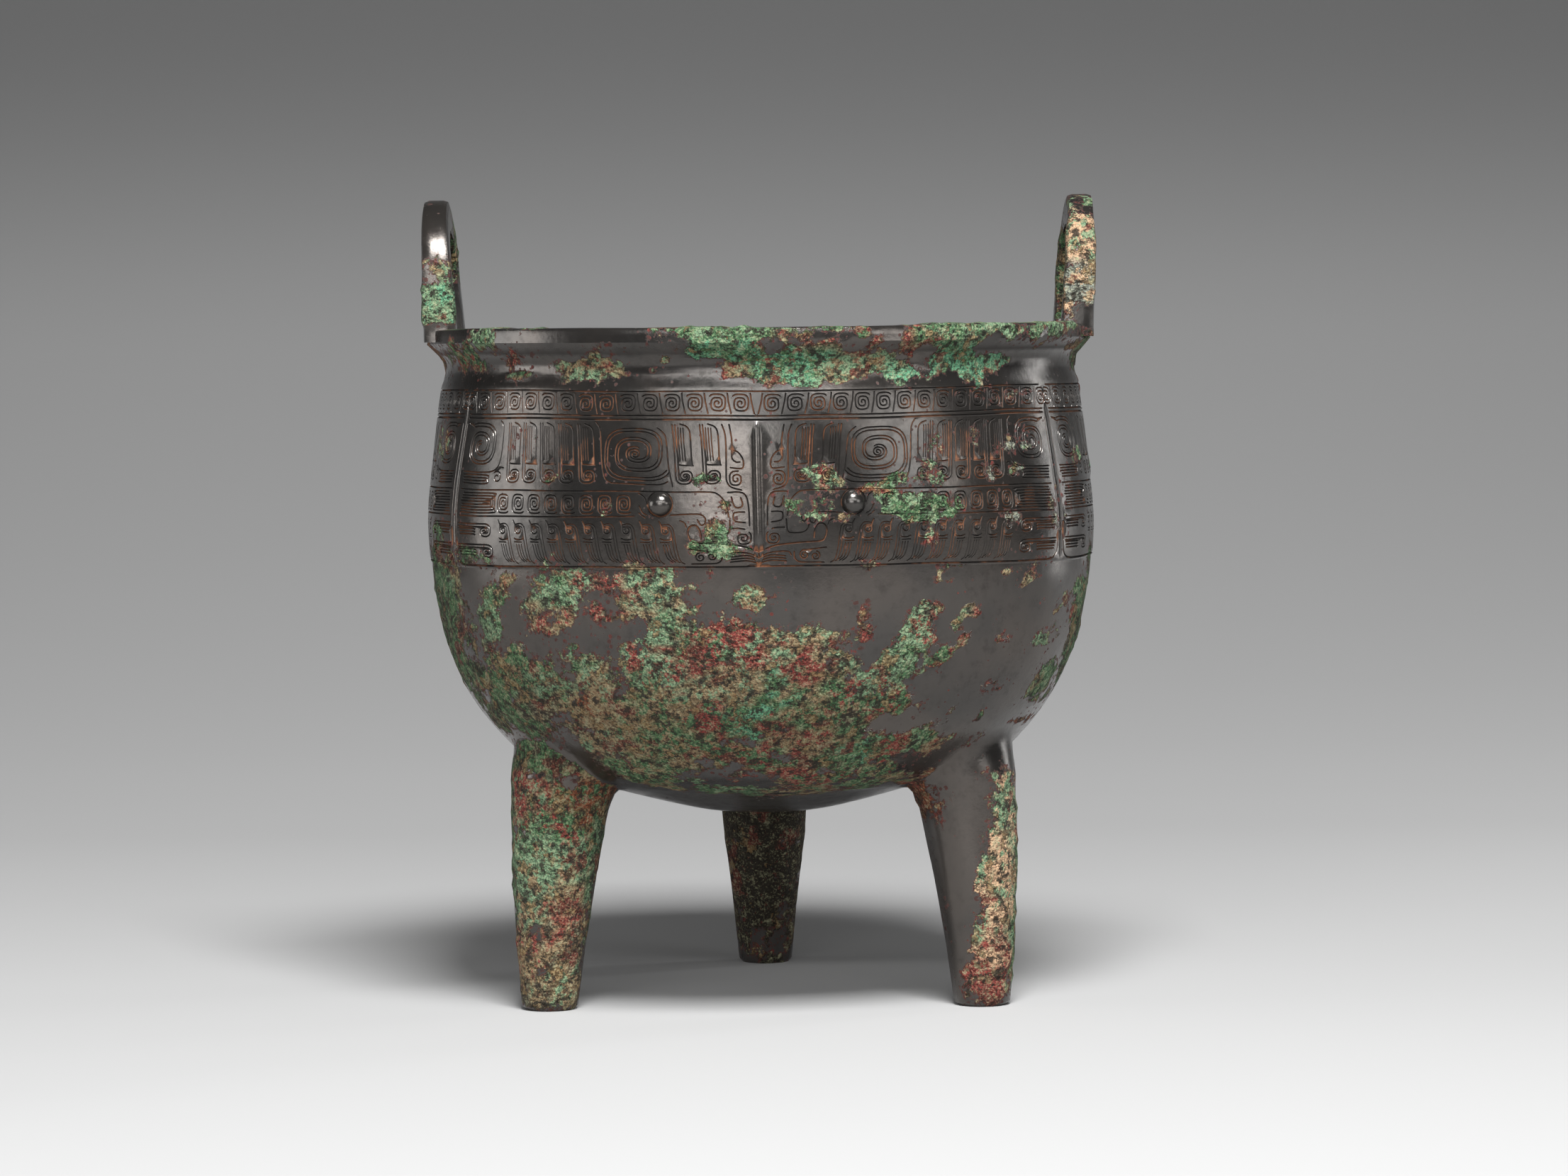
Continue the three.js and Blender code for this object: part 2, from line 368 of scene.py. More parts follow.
@dataclass
class MaskPattern:
    """The mask in the band, drawn for one side of its central ridge."""

    form: VesselForm
    fine: float = 0.52
    bold: float = 0.68
    barb: float = 0.38
    pair: float = 0.88
    feather_top: float = 172.9
    strokes: list[Stroke] = field(default_factory=list)

    def draw(self, points: Sequence[Point], width: float | None = None, smooth: bool = True) -> None:
        """Adds a line through a few points.

        Args:
            points: The points (u, z) that the line passes through.
            width: Width of the line, the fine one if not given.
            smooth: Whether the line is curved through its points.
        """
        width = width or self.fine
        line = spline(points, 8) if smooth and len(points) > 2 else list(points)
        self.strokes.append(Stroke(line, width, 0.36 + 0.3 * width))

    def spiral(self, centre: Point, half: Point, turns: float, start: float, end_share: float = 0.1,
               square: float = 3.2, inset: float = 0.0, lead: Sequence[Point] = (), hand: int = 1) -> None:
        """Adds a rounded-square spiral that winds inwards.

        Args:
            centre: Middle of the spiral.
            half: Half its width and half its height.
            turns: How many times it goes round.
            start: Angle in degrees of its outer end.
            end_share: Size of its inner end as a share of the outer one.
            square: How square the outer turn is; 2 is an ellipse.
            inset: Distance inside the given size, for the second line of a pair.
            lead: Points that come before the outer end.
            hand: 1 to wind from +u towards +z, -1 the other way.
        """
        points = list(lead)
        count = int(26 * turns)
        for i in range(count + 1):
            t = i / count
            angle = math.radians(start) + hand * 2 * math.pi * turns * t
            share = mix(1.0, end_share, t)
            n = mix(square, 2.0, t)
            c, s = math.cos(angle), math.sin(angle)
            x = math.copysign(abs(c) ** (2 / n), c) * max(0.25, half[0] * share - inset)
            y = math.copysign(abs(s) ** (2 / n), s) * max(0.25, half[1] * share - inset)
            points.append((centre[0] + x, centre[1] + y))
        self.strokes.append(Stroke(points, self.fine, 0.5))

    def top_row(self) -> None:
        """The row of spirals under the neck, with its border lines."""
        half = self.form.half_panel()
        for z, width in ((182.2, self.fine), (175.3, self.fine), (174.2, self.bold)):
            self.draw([(0, z), (half * 0.5, z), (half - 1.9, z)], width, smooth=False)
        for i in range(15):
            u = 4.7 + 6.87 * i
            self.spiral((u, 178.75), (2.75, 2.7), 2.45, 40, 0.12)
            self.draw([(u - 2.9, 181.7), (u - 3.2, 179.5), (u - 4.1, 175.9)])

    def horn(self) -> None:
        """The big double-lined squared spiral and its frame."""
        for inset in (0.0, self.pair):
            self.spiral((36.1, 164.8), (11.0, 8.6), 2.75, -150, 0.16, 3.4, inset)
        self.spiral((36.3, 164.3), (1.5, 1.35), 1.5, 100, 0.15, 2.2)
        self.draw([(49.0, 173.6), (47.4, 171), (46.8, 163), (45.8, 157.6), (43.6, 155.9)])
        self.draw([(43.6, 155.9), (36, 155.6), (29, 155.6), (26.4, 156.5)])
        self.draw([(29.6, 171.8), (27.3, 169.6), (26.6, 165), (26.1, 160), (24.9, 155.1)])

    def feather(self, u: float) -> None:
        """An upper feather: a leaning stem with barbs, a foot and a curl under it.

        Args:
            u: Its middle.
        """
        top = self.feather_top
        self.draw([(u + 0.9, top), (u - 1.3, top - 0.9), (u - 2.2, top - 3.4), (u - 2.6, 161.2)])
        for i in range(4):
            x = u + 1.55 - 0.78 * i
            self.draw([(x + 0.75, top - 0.9 - 0.1 * i), (x + 0.5, 167.5), (x, 162.4)], self.barb)
        self.draw([(u + 1.6, 161.9), (u + 0.8, 161.25), (u - 3.1, 161.1)])
        for k in range(2):
            x = u - self.pair * k
            stem = [(x + 3.3, top - 0.2), (x + 2.75, 168), (x + 2.3, 161.4)]
            self.spiral((u - 0.75, 158.0), (2.85, 2.5), 1.55, 0, 0.2, 2.6, self.pair * k, stem, hand=-1)

    def nose(self) -> None:
        """The column of small scrolls beside the ridge."""
        self.draw([(10.3, 172.8), (9.2, 169), (9.0, 160), (8.9, 156.6), (7.6, 154.7), (4.6, 153.8)])
        self.draw([(8.1, 172.8), (7.4, 169), (7.3, 165.4)])
        self.draw([(7.4, 165.3), (5.6, 164.8), (4.1, 162.6), (4.3, 160.1), (7.8, 160.3)])
        self.draw([(7.4, 165.3), (7.3, 163.0), (6.2, 161.9), (5.0, 161.9)])
        self.spiral((6.1, 157.0), (2.2, 2.3), 1.9, 100, 0.15, 2.8, hand=-1)
        self.draw([(8.6, 153.2), (5.0, 153.2), (3.3, 151.9), (2.7, 148.5), (2.6, 143.6)])
        self.draw([(4.9, 151.6), (4.4, 149.8), (5.0, 148.9), (6.5, 148.9), (7.2, 150.2), (7.6, 151.9)])
        self.draw([(3.9, 147.5), (6.7, 147.4), (7.2, 146.2), (6.6, 144.9), (3.8, 144.5)])
        self.draw([(4.0, 142.6), (5.6, 142.9), (7.6, 142.9)])
        self.spiral((4.4, 140.0), (2.3, 2.0), 1.9, 130, 0.15, 2.8)

    def jaw(self) -> None:
        """The band of squared spirals behind the eye, the eye's corners and the cheek."""
        self.draw([(99.6, 153.7), (60, 153.6), (28, 153.5), (14.5, 153.5), (11.2, 152.5), (9.5, 150.4),
                   (8.7, 147.6), (8.5, 146.2)])
        self.draw([(99.6, 146.1), (70, 146.1), (41, 146.2), (36.4, 146.4)])
        for i in range(8):
            self.spiral((39.6 + 5.87 * i, 149.95), (2.5, 3.0), 2.9, -135, 0.1, 3.6)
        for k in range(4):
            off = 0.45 + 0.78 * k
            end = 86.6 - 0.78 * k
            self.draw([(99.0 - 0.4 * k, 149.9 + off), (end + 0.8, 149.9 + off), (end, 149.9 + off * 0.6),
                       (end, 149.9 - off * 0.6), (end + 0.8, 149.9 - off), (98.4 + 0.2 * k, 149.9 - off)])
        self.draw([(35.3, 153.0), (33.4, 151.9), (32.6, 149.6), (31.0, 147.3), (29.6, 146.6)])
        self.draw([(34.9, 149.3), (34.0, 147.5), (32.6, 146.7)])
        self.draw([(35.0, 147.3), (34.2, 146.6), (33.0, 145.9)])
        self.draw([(25.4, 146.8), (21, 147.1), (16.9, 147.1), (15.3, 146.0), (15.4, 144.4), (16.6, 144.0),
                   (17.5, 145.6)])

    def mouth(self) -> None:
        """The lips, and the two curls and the wing at the foot of the ridge."""
        self.draw([(8.2, 145.3), (8.4, 142.4), (9.3, 141.3), (12.8, 141.3), (14.5, 142.2), (15.0, 143.6)])
        self.draw([(12.7, 146.0), (12.9, 144.7), (13.8, 144.5), (14.3, 145.3)])
        self.draw([(16.5, 139.8), (16.9, 142.2), (18.0, 143.8), (19.6, 143.6), (20.4, 142.0), (19.9, 139.9),
                   (18.4, 138.8), (13, 138.5), (6, 137.9), (2.9, 137.1), (0.0, 136.0)], self.bold)
        self.draw([(22.6, 145.2), (21.3, 144.6), (20.8, 143.4)])
        self.draw([(20.2, 137.0), (16, 136.5), (12.9, 136.3)])
        self.spiral((13.6, 134.9), (1.5, 1.3), 1.4, 100, 0.25, 2.2)
        self.spiral((16.9, 134.6), (1.5, 1.3), 1.4, 80, 0.25, 2.2, hand=-1)
        self.draw([(10.5, 135.9), (10.7, 134.0), (12.1, 132.9), (15.0, 132.8), (19.4, 132.7)])
        self.draw([(0.0, 134.2), (2.8, 135.6), (6.0, 136.0), (8.8, 135.9), (9.6, 134.9)])
        for k in range(3):
            lift = 0.75 * k
            self.draw([(0.9 + 0.3 * k, 132.9 + lift), (3.6, 133.5 + lift), (8.2 - 0.2 * k, 133.2 + lift)])

    def hook_feather(self, u: float) -> None:
        """A lower feather: a hooked head on a stem, and nested barbs that sweep to the ridge.

        Args:
            u: Its middle.
        """
        self.spiral((u, 142.2), (1.25, 1.15), 1.2, 20, 0.3, 2.1, hand=-1,
                    lead=[(u + 1.9, 145.0), (u + 1.3, 143.7)])
        for k in range(2):
            g = self.pair * k
            self.draw([(u + 1.0, 143.9 - g), (u - 0.9, 144.1 - g), (u - 2.2 + g * 0.8, 143.0 - g * 0.5),
                       (u - 2.8 + g, 140.4), (u - 3.4 + g, 136.4), (u - 4.3 + g, 133.6),
                       (u - 5.6 + g * 1.6, 132.7 + g * 0.5)], self.barb)
        self.draw([(u + 1.5, 139.9), (u + 0.4, 139.5), (u - 1.0, 139.6), (u - 1.9, 140.0)])
        for k in range(3):
            x = u + 0.7 - self.pair * k
            self.draw([(x, 138.2), (x - 0.5, 136.0), (x - 1.3, 134.2), (x - 2.7, 133.2)], self.barb)
        self.draw([(u + 1.5, 138.9), (u - 1.2, 138.8)], self.barb)

    def outer_scroll(self) -> None:
        """The double-lined scroll beside the mould line, and the stripes under it."""
        for inset in (0.0, self.pair):
            self.spiral((92.7, 166.3), (6.9, 6.7), 2.1, 60, 0.2, 2.9, inset, [(99.8, 172.7)])
        self.draw([(85.4, 173.4), (83.9, 171.6), (83.5, 165), (84.2, 161), (86.6, 159.1), (92, 158.7),
                   (99.6, 158.8)])
        for k in range(2):
            off = 0.42 + 0.8 * k
            end = 88.9 - 0.8 * k
            self.draw([(99.2, 156.7 + off), (end + 0.7, 156.7 + off), (end, 156.7), (end + 0.7, 156.7 - off),
                       (98.8, 156.7 - off)])
        self.spiral((84.4, 157.3), (1.9, 1.8), 1.3, 40, 0.25, 2.4, lead=[(82.0, 160.0), (83.0, 160.2)])

    def tail_scrolls(self) -> None:
        """Two striped scroll ends beside the mould line, in the lower register."""
        for z, reach in ((142.2, 88.0), (136.2, 87.4)):
            for inset in (0.0, self.pair):
                lead = [(100.0, z + 1.75 - inset)]
                self.spiral((reach, z - 0.4), (2.7, 2.1), 1.35, 90, 0.25, 2.5, inset, lead)
            for k in range(3):
                height = z + 0.35 - 0.8 * k
                self.draw([(99.6 - 0.3 * k, height), (92.3, height), (91.8, height - 0.3)])

    def border(self) -> None:
        """The line along the foot of the band, which turns up beside the mould line."""
        self.draw([(0, 131.75), (50, 131.75), (95.5, 131.8)], self.bold, smooth=False)
        self.draw([(95.5, 131.8), (98.6, 132.2), (100.6, 133.9), (101.2, 137)], self.bold)
        self.draw([(101.2, 137), (101.3, 150), (101.3, 172.6)], self.fine, smooth=False)

    def build(self) -> list[Stroke]:
        """Draws the whole half mask.

        Returns:
            The strokes of the half mask.
        """
        self.top_row()
        self.horn()
        for u in (13.6, 21.9, 51.8, 58.6, 65.2, 71.8, 78.2):
            self.feather(u)
        self.nose()
        self.jaw()
        self.mouth()
        for k in range(10):
            self.hook_feather(27.0 + 5.95 * k)
        self.outer_scroll()
        self.tail_scrolls()
        self.border()
        return [Stroke([(self.fitted(u), z) for u, z in s.line], s.width, s.depth) for s in self.strokes]

    @staticmethod
    def fitted(u: float) -> float:
        """Draws the pattern in towards the ridge, all but the stripe ends by the mould line."""
        return 0.975 * u + 2.4 * smoothstep(84.0, 99.0, u)


# ------------------------------------------------------------------ the carved band as a mesh


@dataclass(frozen=True)
class Detail:
    """How finely the band is cut: a line's tolerance, longest piece, and the spacing of the plain part."""

    tolerance: float
    longest: float
    cell: float
    filler: float


@dataclass
class Sketch:
    """Points and joined pairs of points of the flat half panel, kept inside its frame."""

    width: float
    low: float
    high: float
    slack: float = 1e-6
    points: list[Point] = field(default_factory=list)
    edges: list[tuple[int, int]] = field(default_factory=list)

    def framed(self, p: Point) -> bool:
        """Whether a point is in the frame or on it."""
        u, z = p
        return (-self.slack <= u <= self.width + self.slack
                and self.low - self.slack <= z <= self.high + self.slack)

    def open_ground(self, p: Point) -> bool:
        """Whether a point is clear of the ridge, the mould line and the borders."""
        return 1.7 < p[0] < self.width - 1.0 and self.low + 0.9 < p[1] < self.high - 0.5

    def chain(self, line: Sequence[Point], allowed: set[Point] | None = None) -> None:
        """Adds points joined one to the next, with a break where one is left out.

        Args:
            line: The points.
            allowed: The ones that may be used, all if not given.
        """
        before = -1
        for p in line:
            if not self.framed(p) or (allowed is not None and p not in allowed):
                before = -1
                continue
            self.points.append(p)
            if before >= 0:
                self.edges.append((before, len(self.points) - 1))
            before = len(self.points) - 1


@dataclass
class Grooves:
    """The engraved lines as straight pieces, for finding the one nearest to a point."""

    lines: list[tuple[list[Point], Stroke]]
    batch: int = 400

    def __post_init__(self) -> None:
        """Lists the straight pieces: both ends, half the width, and the depth."""
        self.pieces = np.array([(*a, *b, stroke.width / 2, stroke.depth)
                                for line, stroke in self.lines for a, b in zip(line, line[1:])])

    def nearest(self, p: np.ndarray) -> tuple[np.ndarray, np.ndarray, np.ndarray]:
        """Looks up the groove that each point lies deepest in.

        Args:
            p: Points as (u, z).

        Returns:
            The distance to that groove in half widths, its depth, and the distance
            in millimetres to the closest line.
        """
        a, b = self.pieces[:, 0:2], self.pieces[:, 2:4]
        ab = b - a
        span = np.maximum((ab * ab).sum(1), 1e-12)
        ratio, depth, plain = [], [], []
        for part in np.array_split(p, max(1, len(p) // self.batch)):
            ap = part[:, None, :] - a[None]
            t = np.clip((ap * ab[None]).sum(2) / span[None], 0, 1)
            d = np.hypot(*np.moveaxis(ap - t[..., None] * ab[None], 2, 0))
            share = d / self.pieces[None, :, 4]
            best = share.argmin(1)
            ratio.append(share[np.arange(len(part)), best])
            depth.append(self.pieces[best, 5])
            plain.append(d.min(1))
        return np.concatenate(ratio), np.concatenate(depth), np.concatenate(plain)


@dataclass
class CarvedBand:
    """The band of the belly: the half mask as a flat net of triangles, then laid on the body."""

    form: VesselForm
    columns: int = 30
    rows: int = 20
    step_foot: Point = (131.0, 131.5)
    step_line: float = 131.45
    ridge_from: float = 135.6
    ridge_to: float = 173.7
    ridge_half: float = 1.6
    ridge_height: float = 0.8
    ridge_columns: tuple[float, ...] = (0.35, 0.75, 1.15)
    ridge_clear: float = 1.95
    ridge_span: Point = (136.5, 174)
    eye: Point = (27.9, 150.0)
    eye_radius: float = 3.3
    eye_height: float = 2.5
    eye_rings: tuple[tuple[float, int], ...] = ((1.06, 26), (0.97, 26), (0.85, 22), (0.65, 18), (0.35, 12))
    eye_groove: float = 0.35
    mould_half: float = 0.6
    mould_edge: float = 0.3
    mould_height: float = 0.16
    lip_clear: float = 0.86
    cap_reach: float = 0.55
    cap_clear: float = 0.9
    bank: float = 0.4
    groove_top: float = 0.84
    groove_slope: float = 1.12
    merge: float = 0.012
    front: Detail = Detail(0.04, 3.6, 0.8, 3.4)
    sides: Detail = Detail(0.09, 6.0, 1.3, 4.6)

    def base_height(self, u: float, z: float) -> float:
        """How far the uncut surface stands proud: ridge, eye, mould line and lower step.

        Args:
            u: Arc length from the ridge.
            z: Height.

        Returns:
            The rise in millimetres.
        """
        rise = -self.form.band_step * (1 - smoothstep(*self.step_foot, z))
        along = smoothstep(self.ridge_from, self.ridge_from + 2.5, z)
        along *= 1 - smoothstep(self.ridge_to - 0.6, self.ridge_to, z)
        rise += self.ridge_height * along * (1 - smoothstep(0.2, self.ridge_half, u))
        away = math.hypot(u - self.eye[0], z - self.eye[1]) / self.eye_radius
        rise += self.eye_height * math.sqrt(max(0.0, 1 - away * away))
        edge = (self.form.half_panel() - u) / self.mould_half
        up = smoothstep(131.2, 133.5, z) * (1 - smoothstep(180, 182.6, z))
        rise += self.mould_height * up * (1 - smoothstep(0.1, 1.0, edge))
        return rise

    def rule(self, sketch: Sketch) -> None:
        """Adds the frame, and the lines that the ridge, the mould line and the eye need.

        Args:
            sketch: The sketch that gets them.
        """
        half, low, high = sketch.width, sketch.low, sketch.high
        us = [half * i / self.columns for i in range(self.columns + 1)]
        zs = [mix(low, high, i / self.rows) for i in range(self.rows + 1)]
        for z in (low, high):
            sketch.chain([(u, z) for u in us])
        for u in (0.0, half):
            sketch.chain([(u, z) for z in zs])
        sketch.chain([(u, self.step_line) for u in us])
        for u in (*self.ridge_columns, self.ridge_half):
            sketch.chain([(u, mix(self.ridge_from - 0.8, self.ridge_to, i / 10)) for i in range(11)])
        for off in (self.mould_edge, self.mould_half):
            sketch.chain([(half - off, z) for z in zs[1:-1]])
        for share, count in self.eye_rings:
            sketch.chain(circle(self.eye, self.eye_radius * share, count))
        sketch.points.append(self.eye)

    def trace(self, sketch: Sketch, grooves: Grooves) -> None:
        """Adds each groove's floor, its two lips, and the points just beyond its ends.

        Args:
            sketch: The sketch that gets them.
            grooves: The engraved lines.
        """
        for line, stroke in grooves.lines:
            sketch.chain(line)
            for side in (-1, 1):
                lip = self.beside(line, side * stroke.width / 2)
                clear = grooves.nearest(np.array(lip))[0] > self.lip_clear
                sketch.chain(lip, {p for p, ok in zip(lip, clear) if ok})
        caps = [p for line, stroke in grooves.lines for p in self.ends(line, stroke.width * self.cap_reach)]
        sketch.points += [p for p, ratio in zip(caps, grooves.nearest(np.array(caps))[0])
                          if ratio > self.cap_clear and sketch.open_ground(p)]

    def scatter(self, sketch: Sketch, grooves: Grooves, cut: Detail) -> None:
        """Adds points on the plain metal between the grooves, one at most to a cell.

        Args:
            sketch: The sketch that gets them.
            grooves: The engraved lines.
            cut: The size of the cells, and the spacing where nothing is engraved.
        """
        wanted: list[Point] = []
        for line, stroke in grooves.lines:
            for side in (-1, 1):
                wanted += self.beside(line, side * (stroke.width / 2 + self.bank))
        step, row = cut.filler, cut.filler * 0.87
        for j in range(int((sketch.high - sketch.low) / row)):
            z = sketch.low + row * (j + 0.6)
            wanted += [(u + (j % 2) * step / 2 + 0.7, z) for u in np.arange(0.8, sketch.width - 1.6, step)]
        wanted = [p for p in wanted if sketch.open_ground(p)]
        ratio, _, plain = grooves.nearest(np.array(wanted))
        taken: set[tuple[int, int]] = set()
        for p, far, d in zip(wanted, ratio, plain):
            cell = (int(p[0] / cut.cell), int(p[1] / cut.cell))
            eye_clear = math.hypot(p[0] - self.eye[0], p[1] - self.eye[1]) > self.eye_radius + 0.8
            if d > 0.6 and far > 2 and cell not in taken and eye_clear:
                taken.add(cell)
                sketch.points.append(p)

    def net(self, cut: Detail) -> tuple[np.ndarray, list[list[int]], np.ndarray]:
        """Cuts the half panel into triangles that follow every groove.

        Args:
            cut: How finely the grooves are followed.

        Returns:
            The vertices as (u, z, height), the triangles, and how deep each vertex lies
            in a groove, from 0 to 1.
        """
        strokes = MaskPattern(self.form).build()
        strokes.append(Stroke(circle(self.eye, self.eye_radius + self.eye_groove, 40)))
        grooves = Grooves([(thinned(stroke.line, cut.tolerance, cut.longest), stroke) for stroke in strokes])
        sketch = Sketch(self.form.half_panel(), self.form.band_bottom, self.form.band_top)
        self.rule(sketch)
        self.trace(sketch, grooves)
        self.scatter(sketch, grooves, cut)
        LOG.info("half mask: %d strokes, %d points", len(strokes), len(sketch.points))

        places = [Vector(p) for p in sketch.points]
        verts, _, faces, *_ = delaunay_2d_cdt(places, sketch.edges, [], 0, self.merge)
        flat = np.array([tuple(v) for v in verts])
        ratio, depth, _ = grooves.nearest(flat)
        sunk = np.clip(self.groove_slope - ratio * self.groove_slope, 0, 1)
        sunk[ratio > self.groove_top] = 0
        foot, head = self.ridge_span
        sunk *= (flat[:, 0] > self.ridge_clear) | (flat[:, 1] > head) | (flat[:, 1] < foot)
        net = [(u, z, self.base_height(u, z) - c * d) for (u, z), c, d in zip(flat, sunk, depth)]
        return np.array(net), [list(f) for f in faces], sunk

    @staticmethod
    def ends(line: Sequence[Point], off: float) -> list[Point]:
        """The points just beyond the two ends of a line.

        Args:
            line: The line.
            off: How far beyond.

        Returns:
            The two points.
        """
        made = []
        for (x, y), (ax, ay) in ((line[0], line[1]), (line[-1], line[-2])):
            span = math.hypot(x - ax, y - ay)
            made.append((x + (x - ax) * off / span, y + (y - ay) * off / span))
        return made

    @staticmethod
    def beside(line: Sequence[Point], off: float) -> list[Point]:
        """The line that runs beside another at a distance.

        Args:
            line: The line.
            off: The distance, with its sign for the side.

        Returns:
            One point for each point of the line.
        """
        result = []
        last = len(line) - 1
        for i, (x, y) in enumerate(line):
            ax, ay = line[max(0, i - 1)]
            bx, by = line[min(last, i + 1)]
            d1 = Vector((x - ax, y - ay)) if i > 0 else Vector((bx - x, by - y))
            d2 = Vector((bx - x, by - y)) if i < last else Vector((x - ax, y - ay))
            d1.normalize()
            d2.normalize()
            along = d1 + d2
            if along.length < 1e-6:
                along = d1.copy()
            along.normalize()
            reach = off / max(0.6, along.dot(d2))
            result.append((x - along.y * reach, y + along.x * reach))
        return result

    def lay(self, bm: bmesh.types.BMesh, dirt_and_shade: bmesh.types.BMLayerItem) -> None:
        """Lays six mirrored copies of the half mask round the body, into a mesh in millimetres.

        Args:
            bm: The mesh that gets the band.
            dirt_and_shade: Its float layer for how deep a vertex lies in a groove.
        """
        front, sides = self.net(self.front), self.net(self.sides)
        for panel in range(PANELS):
            flat, faces, sunk = sides if panel else front
            base = self.form.radii(flat[:, 1])
            for side in (1, -1):
                azimuth = 2 * math.pi * panel / PANELS + side * flat[:, 0] / self.form.arc_radius
                unit = np.column_stack((np.sin(azimuth), -np.cos(azimuth)))
                seat = self.form.swell(np.column_stack((unit * base[:, None], flat[:, 1])))
                out = seat[:, :2] / np.hypot(seat[:, 0], seat[:, 1])[:, None]
                seat[:, :2] += out * flat[:, 2:3]
                made = []
                for co, deep in zip(seat, sunk):
                    v = bm.verts.new(co)
                    v[dirt_and_shade] = float(deep)
                    made.append(v)
                for face in faces:
                    order = face if side > 0 else face[::-1]
                    bm.faces.new([made[i] for i in order])


# ------------------------------------------------------------------ the casting


@dataclass
class Leg:
    """A cylindrical leg: a turned shaft that leans in a little and flares into the bowl."""

    form: VesselForm
    azimuth: float
    sides: int = 40
    stations: tuple[tuple[float, float, float], ...] = (
        (0.0, 7.3, 73.5), (1.2, 8.3, 73.5), (18, 10, 72.8), (40, 12.4, 71.3),
        (58, 14.2, 69.3), (68, 16.4, 67.0), (77, 19.0, 62.5), (84, 19.0, 60.0),
    )
    flats: int = 5
    flat_share: float = 0.022
    foot_round: float = 1.2
    rings: int = 35
    sunk: float = 2.1

    def radius(self, z: np.ndarray) -> np.ndarray:
        """Radii of the shaft at heights."""
        line = spline([(s[0], s[1]) for s in self.stations[1:]], 8)
        heights = [0.0] + [p[0] for p in line]
        return np.interp(z, heights, [self.stations[0][1]] + [p[1] for p in line])

    def middle(self, z: np.ndarray) -> np.ndarray:
        """Middles of the shaft at heights, as x and y."""
        out = np.interp(z, [s[0] for s in self.stations], [s[2] for s in self.stations])
        return np.column_stack((out * math.sin(self.azimuth), -out * math.cos(self.azimuth)))

    def depth(self, co: np.ndarray) -> np.ndarray:
        """Signed distance of points from the leg's surface, about."""
        across = co[:, :2] - self.middle(co[:, 2])
        return np.hypot(across[:, 0], across[:, 1]) - self.radius(co[:, 2])

    def build(self) -> bpy.types.Object:
        """Spins the shaft, moves it under the bowl and ends it inside the wall.

        Returns:
            The leg as an object, in millimetres.
        """
        top, foot = self.stations[-1][0], self.foot_round
        heights = [0.0, 0.5] + [foot + (top - foot) * i / self.rings for i in range(self.rings + 1)]
        radii = self.radius(np.array(heights))
        bm = spun([(0.0, 0.0), (radii[0] * 0.55, 0.0), *zip(radii, heights), (0.0, top)], self.sides)
        co = coordinates(bm)
        turn = self.flats * (azimuths(co) - self.azimuth)
        co[:, :2] *= (1 + self.flat_share * np.cos(turn) * np.clip(co[:, 2] / 30, 0, 1))[:, None]
        co[:, :2] += self.middle(co[:, 2])
        for _ in range(3):
            deep = self.form.depth(co)
            slope = slopes(self.form.depth, co, deep)
            slope /= np.maximum(np.linalg.norm(slope, axis=1), 1e-6)[:, None]
            co += slope * np.maximum(-self.sunk - deep, 0)[:, None]
        put(bm, co)
        bmesh.ops.recalc_face_normals(bm, faces=bm.faces)
        return as_object("leg_blank", bm)


